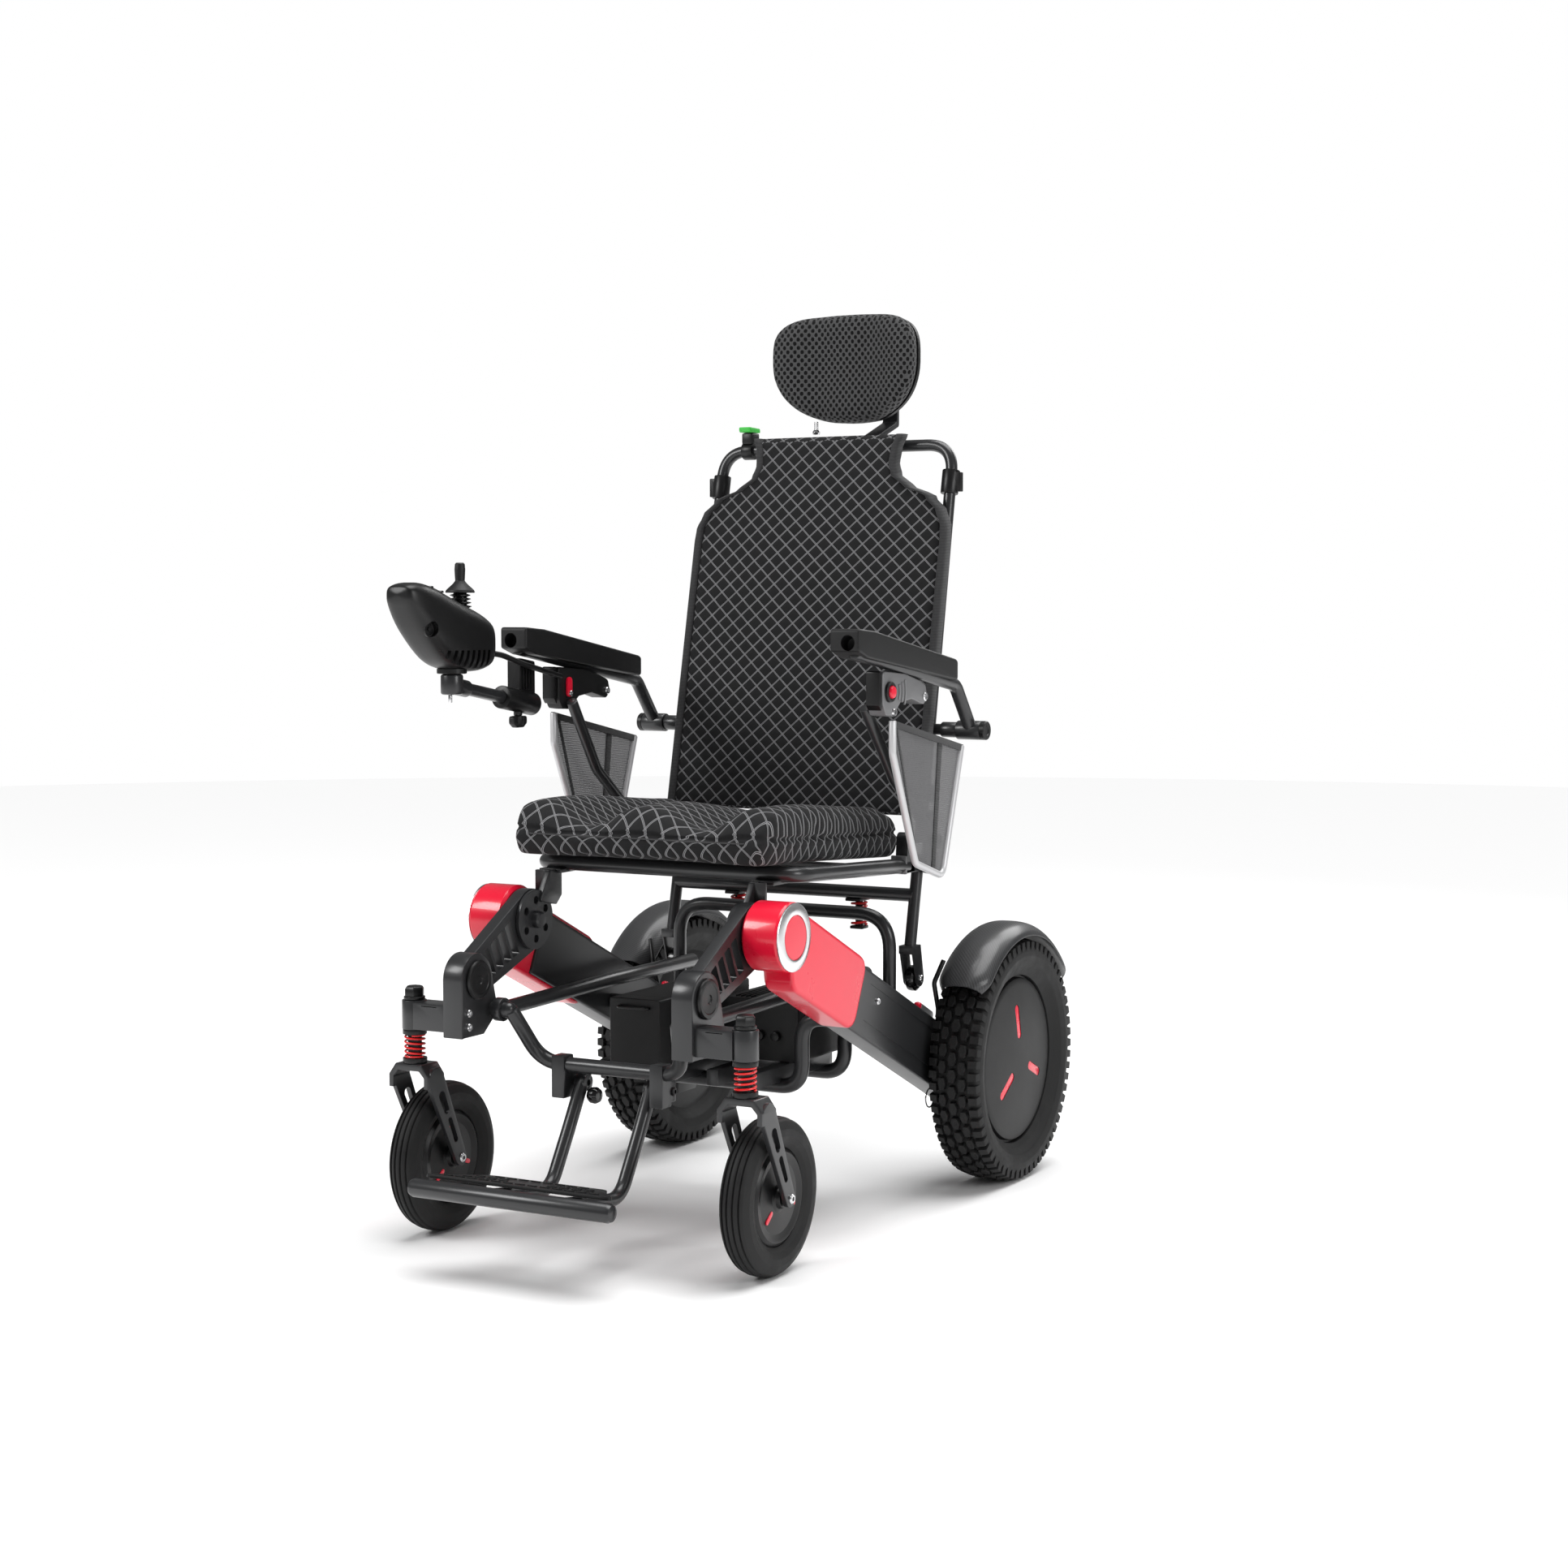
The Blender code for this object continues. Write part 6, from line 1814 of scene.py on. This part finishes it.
    gx = side * 0.2690
    corners = [
        (gx, 0.3590, 0.6790), (gx, 0.3590, 0.6350), (gx, 0.4290, 0.4830), (gx, 0.5140, 0.4580),
        (gx, 0.5740, 0.6360)
    ]
    rim = tube(corners, 0.0050, 0.016, 18, 8)
    finished(f"{name}_guard_frame", rim, GUARD, body, [f"{name}_side_guard"])
    flat = [(c.y, c.z) for c in filleted(corners, 0.016, 8)]
    net = plate(flat, gx - 0.0002, gx + 0.0002, ease=0)
    for loop in net.data.loops:
        p = net.data.vertices[loop.vertex_index].co
        net.data.uv_layers[0].data[loop.index].uv = (p.y, p.z)
    finished(f"{name}_guard_net", net, MESH, body)
    straps = [
        ([(0.3560, 0.6800), (0.5760, 0.6370), (0.5740, 0.6280), (0.3560, 0.6710)], 0.0030),
        ([(0.498, 0.650), (0.511, 0.648), (0.489, 0.468), (0.478, 0.470)], 0.0014),
        ([(0.366, 0.674), (0.372, 0.672), (0.436, 0.486), (0.431, 0.484)], 0.0010),
    ]
    for index, (points, thick) in enumerate(straps):
        strap = plate(points, gx - thick, gx + thick, ease=0.0004)
        for loop in strap.data.loops:
            p = strap.data.vertices[loop.vertex_index].co
            strap.data.uv_layers[0].data[loop.index].uv = (p.y if index == 0 else p.z, 0.0)
        finished(f"{name}_guard_strap_{index + 1}", strap, TAPE, body)

    px = side * POST_X
    post = tube(
        [(px, *POST_PIN), (side * 0.2395, 0.4240, 0.5960), (side * 0.2325, 0.3500, 0.6960)], 0.0080, 0.050,
        28, 12
    )
    eye = bar((side * (POST_X - 0.006), *POST_PIN), (side * (POST_X + 0.0055), *POST_PIN), 0.0100, 32)
    pin = bar((side * 0.220, *POST_PIN), (side * 0.260, *POST_PIN), 0.0040 + GAP, 20)
    post = cut(union(post, eye), pin)
    room = plate(
        [(0.300, 0.652), (0.480, 0.652), (0.480, 0.760), (0.300, 0.760)], side * (0.2430 - GAP),
        side * 0.2900, ease=0
    )
    finished(
        f"{name}_post", cut(post, room), PAINT, f"{name}_armrest_post", [f"{name}_armrest_post"]
    )


# ---------------------------------------------------------------- controller


def control_point(y, lift=0.0):
    return (CONTROL_X, y, 0.7045 - (y - 0.220) * 0.165 + lift)


def controller():
    clamp = bar(control_point(0.211), control_point(0.286), 0.0160, 40)
    ribbed = plate(
        filleted([(0.246, 0.7060), (0.282, 0.7000), (0.282, 0.7535), (0.246, 0.7590)], 0.004, 4, True),
        CONTROL_X - 0.0140,
        CONTROL_X + 0.0080,
        ease=0.002,
    )
    flutes = [
        block(
            (CONTROL_X + 0.0070, 0.2500 + 0.0068 * k, 0.7150),
            (CONTROL_X + 0.0100, 0.2530 + 0.0068 * k, 0.7480), 0.0008
        )
        for k in range(4)
    ]
    seat = bar(control_point(0.251, -0.0110), control_point(0.251, -0.0206), 0.0060, 24)
    bracket = union(clamp, ribbed, seat, *flutes)
    arm_room = tube([(CONTROL_X - 0.006, 0.600, 0.7157), (CONTROL_X - 0.006, 0.20, 0.7817)], 0.0099, sides=24)
    bore = bar(control_point(0.150), control_point(0.330), 0.0085 + GAP, 28)
    finished(
        "controller_clamp", cut(bracket, arm_room, bore), BLACK, "right_armrest", ["controller_bracket"],
    )

    knob_top = control_point(0.251, -0.0210)
    outline = filleted(
        [(-0.016, 0.0), (-0.016, -0.010), (-0.008, -0.016), (0.008, -0.016), (0.016, -0.010), (0.016, 0.0)],
        0.004, 4, True
    )
    wing = plate(outline, -0.0045, 0.0045, ease=0.0014)
    stem = turned(
        [(0, -0.0120), (0.0075, -0.0120), (0.0085, -0.0040), (0.0085, 0.0), (0, 0.0)], (0, 0, 0), "Z", 32,
        soft=0.0006
    )
    finished(
        "clamp_knob", moved(union(wing, stem), Matrix.Translation(knob_top)), MOULDED, "wing_knob",
        ["wing_knob"]
    )

    support = bar(control_point(0.108), control_point(0.286), 0.0085, 28)
    post = bar((CONTROL_X, CONTROL_POST_Y, 0.7125), (CONTROL_X, CONTROL_POST_Y, 0.7400), 0.0150, 40, 0.003)
    elbow = bar(control_point(0.098), control_point(0.130), 0.0115, 32)
    trimmed = cut(union(support, post, elbow), block((-0.30, 0.0, 0.7400), (-0.2, 0.2, 0.80), 0))
    finished("controller_support", trimmed, PAINT, "controller_arm", ["controller_arm"])
    pin = bar(
        (CONTROL_X, CONTROL_POST_Y - 0.004, 0.7020), (CONTROL_X, CONTROL_POST_Y - 0.004, 0.7130), 0.0026, 16
    )
    finished("controller_pin", pin, STEEL, "controller_arm")

    sections = [
        (-0.0200, 0.8400, 0.8500, 0.0110),
        (-0.0140, 0.8290, 0.8575, 0.0210),
        (0.0080, 0.7990, 0.8610, 0.0280),
        (0.0380, 0.7700, 0.8555, 0.0310),
        (0.0650, 0.7520, 0.8460, 0.0320),
        (0.1000, 0.7440, 0.8340, 0.0320),
        (0.1350, 0.7430, 0.8230, 0.0300),
        (0.1600, 0.7480, 0.8120, 0.0260),
        (0.1730, 0.7560, 0.8030, 0.0180),
    ]
    smooth = catmull([(y, (low_z + high_z) / 2, 0.0) for y, low_z, high_z, _ in sections], 5)
    sizes = catmull([((high_z - low_z) / 2, half, 0.0) for _, low_z, high_z, half in sections], 5)
    rings = []
    count = len(smooth)
    for i, (place, size) in enumerate(zip(smooth, sizes)):
        ends = min(i, count - 1 - i)
        shrink = (0.30, 0.72, 0.90, 1.0)[min(ends, 3)]
        ring = []
        for k in range(40):
            a = 2 * math.pi * (k + 0.5) / 40
            c, s = math.cos(a), math.sin(a)
            px = size.y * shrink * math.copysign(abs(c) ** 0.62, c)
            pz = size.x * shrink * math.copysign(abs(s) ** 0.62, s)
            ring.append((CONTROL_X + px, place.x, place.y + pz))
        rings.append(ring)
    case = skinned(rings)
    flange = turned(
        [(0, 0.7404), (0.0190, 0.7404), (0.0200, 0.7412), (0.0200, 0.7470), (0, 0.7470)],
        (CONTROL_X, CONTROL_POST_Y, 0), "Z", 40
    )
    dish = bar(
        (CONTROL_X, STICK_BASE[0] - 0.002, STICK_BASE[1]), (CONTROL_X, STICK_BASE[0] - 0.002, 0.850), 0.0165,
        36
    )
    vents = []
    for k in range(9):
        y = 0.040 + 0.0125 * k
        for hand in (-1, 1):
            vents.append(
                block(
                    (CONTROL_X + hand * 0.031 - 0.009, y, 0.7430),
                    (CONTROL_X + hand * 0.031 + 0.009, y + 0.0060, 0.7720), 0.0008
                )
            )
    port = bar((CONTROL_X + 0.020, 0.020, 0.8000), (CONTROL_X + 0.050, 0.016, 0.8000), 0.0105, 32)
    case = cut(union(case, flange), dish, *vents, port)
    finished("controller_case", case, BLACK, "controller", ["controller_body"], 40)
    socket = turned(
        [
            (0, 0.0), (0.0098, 0.0), (0.0098, 0.0030), (0.0075, 0.0030), (0.0070, 0.0015), (0.0030, 0.0015),
            (0.0028, 0.0035), (0, 0.0035)
        ],
        (CONTROL_X + 0.0195, 0.019, 0.8000), steps=32, side=1
    )
    finished("charging_port", socket, MOULDED, "controller")
    buttons = []
    for k, (px, y) in enumerate(
        ((-0.014, 0.030), (0.014, 0.030), (-0.014, 0.052), (0.014, 0.052), (0.0, 0.014))
    ):
        z = 0.8585 - max(0.0, y - 0.012) * 0.27
        buttons.append(
            turned(
                [(0, 0), (0.0062, 0), (0.0062, 0.0018), (0.0052, 0.0028), (0, 0.0030)],
                (CONTROL_X + px, y, z), "Z", 24
            )
        )
    finished("controller_buttons", group(*buttons), GLOSSY, "controller")

    bellows = [(0, 0.8262), (0.0090, 0.8262)]
    for k in range(4):
        z = 0.8290 + 0.0050 * k
        bellows += [
            (0.0150 - 0.0005 * k, z), (0.0154 - 0.0005 * k, z + 0.0012), (0.0092, z + 0.0026),
            (0.0090, z + 0.0034)
        ]
    bellows += [(0.0085, 0.8490), (0, 0.8500)]
    boot = turned(bellows, (CONTROL_X, STICK_BASE[0], 0), "Z", 40, soft=0.0004)
    finished("stick_bellows", boot, GLOSSY, "joystick_gimbal", ["joystick_boot"], 50)
    stick = turned(
        [
            (0, 0.8505), (0.0192, 0.8478), (0.0198, 0.8490), (0.0184, 0.8518), (0.0095, 0.8600),
            (0.0064, 0.8640), (0.0068, 0.8700), (0.0072, 0.8790), (0.0066, 0.8862), (0.0048, 0.8880),
            (0, 0.8880)
        ],
        (CONTROL_X, STICK_BASE[0], 0),
        "Z",
        40,
        soft=0.0015,
    )
    finished("stick", stick, MOULDED, "joystick", ["joystick"], 50)

    route = [
        (CONTROL_X + 0.012, 0.1765, 0.7660),
        (CONTROL_X + 0.014, 0.1960, 0.7630),
        (CONTROL_X + 0.018, 0.2180, 0.7560),
        (CONTROL_X + 0.022, 0.2420, 0.7490),
        (CONTROL_X + 0.022, 0.2850, 0.7400),
        (CONTROL_X + 0.022, 0.3250, 0.7320),
    ]
    points = catmull(route, 4)
    curve = bpy.data.curves.new("controller_lead", "CURVE")
    curve.dimensions = "3D"
    curve.bevel_depth = 0.0040
    curve.bevel_resolution = 6
    curve.use_fill_caps = True
    spline = curve.splines.new("POLY")
    spline.points.add(len(points) - 1)
    for point, place in zip(spline.points, points):
        point.co = (place.x, place.y + SHIFT_Y, place.z, 1.0)
    curve.materials.append(BLACK.material)
    lead = bpy.data.objects.new("controller_lead", curve)
    bpy.context.collection.objects.link(lead)
    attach(lead, "right_armrest")
    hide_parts("controller_cable")


# ---------------------------------------------------------------- stage


def studio():
    camera = bpy.data.cameras.new("camera")
    camera.sensor_width = 36.0
    camera.lens = 59.3
    holder = bpy.data.objects.new("camera", camera)
    bpy.context.collection.objects.link(holder)
    holder.location = (1.7897, -2.7029 + SHIFT_Y, 0.8323)
    holder.rotation_euler = (math.radians(90 - 3.975), 0.0, math.radians(28.82))
    bpy.context.scene.camera = holder

    world = bpy.data.worlds.new("studio")
    world.use_nodes = True
    nodes, links = world.node_tree.nodes, world.node_tree.links
    seen = nodes.new("ShaderNodeLightPath").outputs["Is Camera Ray"]
    level = nodes.new("ShaderNodeMapRange")
    level.inputs[3].default_value, level.inputs[4].default_value = 0.20, 1.0
    links.new(seen, level.inputs[0])
    links.new(level.outputs[0], nodes["Background"].inputs[1])
    nodes["Background"].inputs[0].default_value = (1.0, 1.0, 1.0, 1.0)
    bpy.context.scene.world = world
    bpy.context.scene.view_settings.view_transform = "Standard"

    bm = bmesh.new()
    bmesh.ops.create_circle(bm, cap_ends=True, cap_tris=False, segments=96, radius=9.0)
    floor = shape_from(bm)
    floor.name = "floor"
    floor.location = (0, 0, -0.0005)
    paper = Look("floor_paper", (0.90, 0.90, 0.90), 0.75, Specular_IOR_Level=0.15)
    paper.bump(paper.noise(60.0, 2.0), 0.0003, 0.1)
    floor.data.materials.append(paper.material)

    for name, place, size, power in (
        ("key_light", (-1.9, -2.3, 2.3), 1.2, 52.0),
        ("side_light", (2.9, -0.5, 1.5), 1.1, 26.0),
        ("back_light", (0.6, 2.6, 2.4), 1.4, 30.0),
    ):
        lamp = bpy.data.lights.new(name, "AREA")
        lamp.size = size
        lamp.energy = power
        made = bpy.data.objects.new(name, lamp)
        bpy.context.collection.objects.link(made)
        made.location = place
        made.rotation_euler = (Vector((0, 0.1, 0.5)) - Vector(place)).to_track_quat("-Z", "Y").to_euler()
    ceiling = bpy.data.lights.new("ceiling_light", "SUN")
    ceiling.energy = 2.85
    ceiling.angle = math.radians(50)
    made = bpy.data.objects.new("ceiling_light", ceiling)
    bpy.context.collection.objects.link(made)
    made.rotation_euler = (math.radians(-8), math.radians(6), 0)


studio()
controller()
chassis_frames()
crossbar()
footrest()
seat_frame()
seat_cushion()
back_frame()
back_panel()
headrest()
for side_name, side_sign in (("left", 1), ("right", -1)):
    chassis_side(side_name, side_sign)
    drive_wheel(side_name, side_sign)
    front_side(side_name, side_sign)
    caster(side_name, side_sign)
    trolley_wheel(side_name, side_sign)
    armrest(side_name, side_sign)
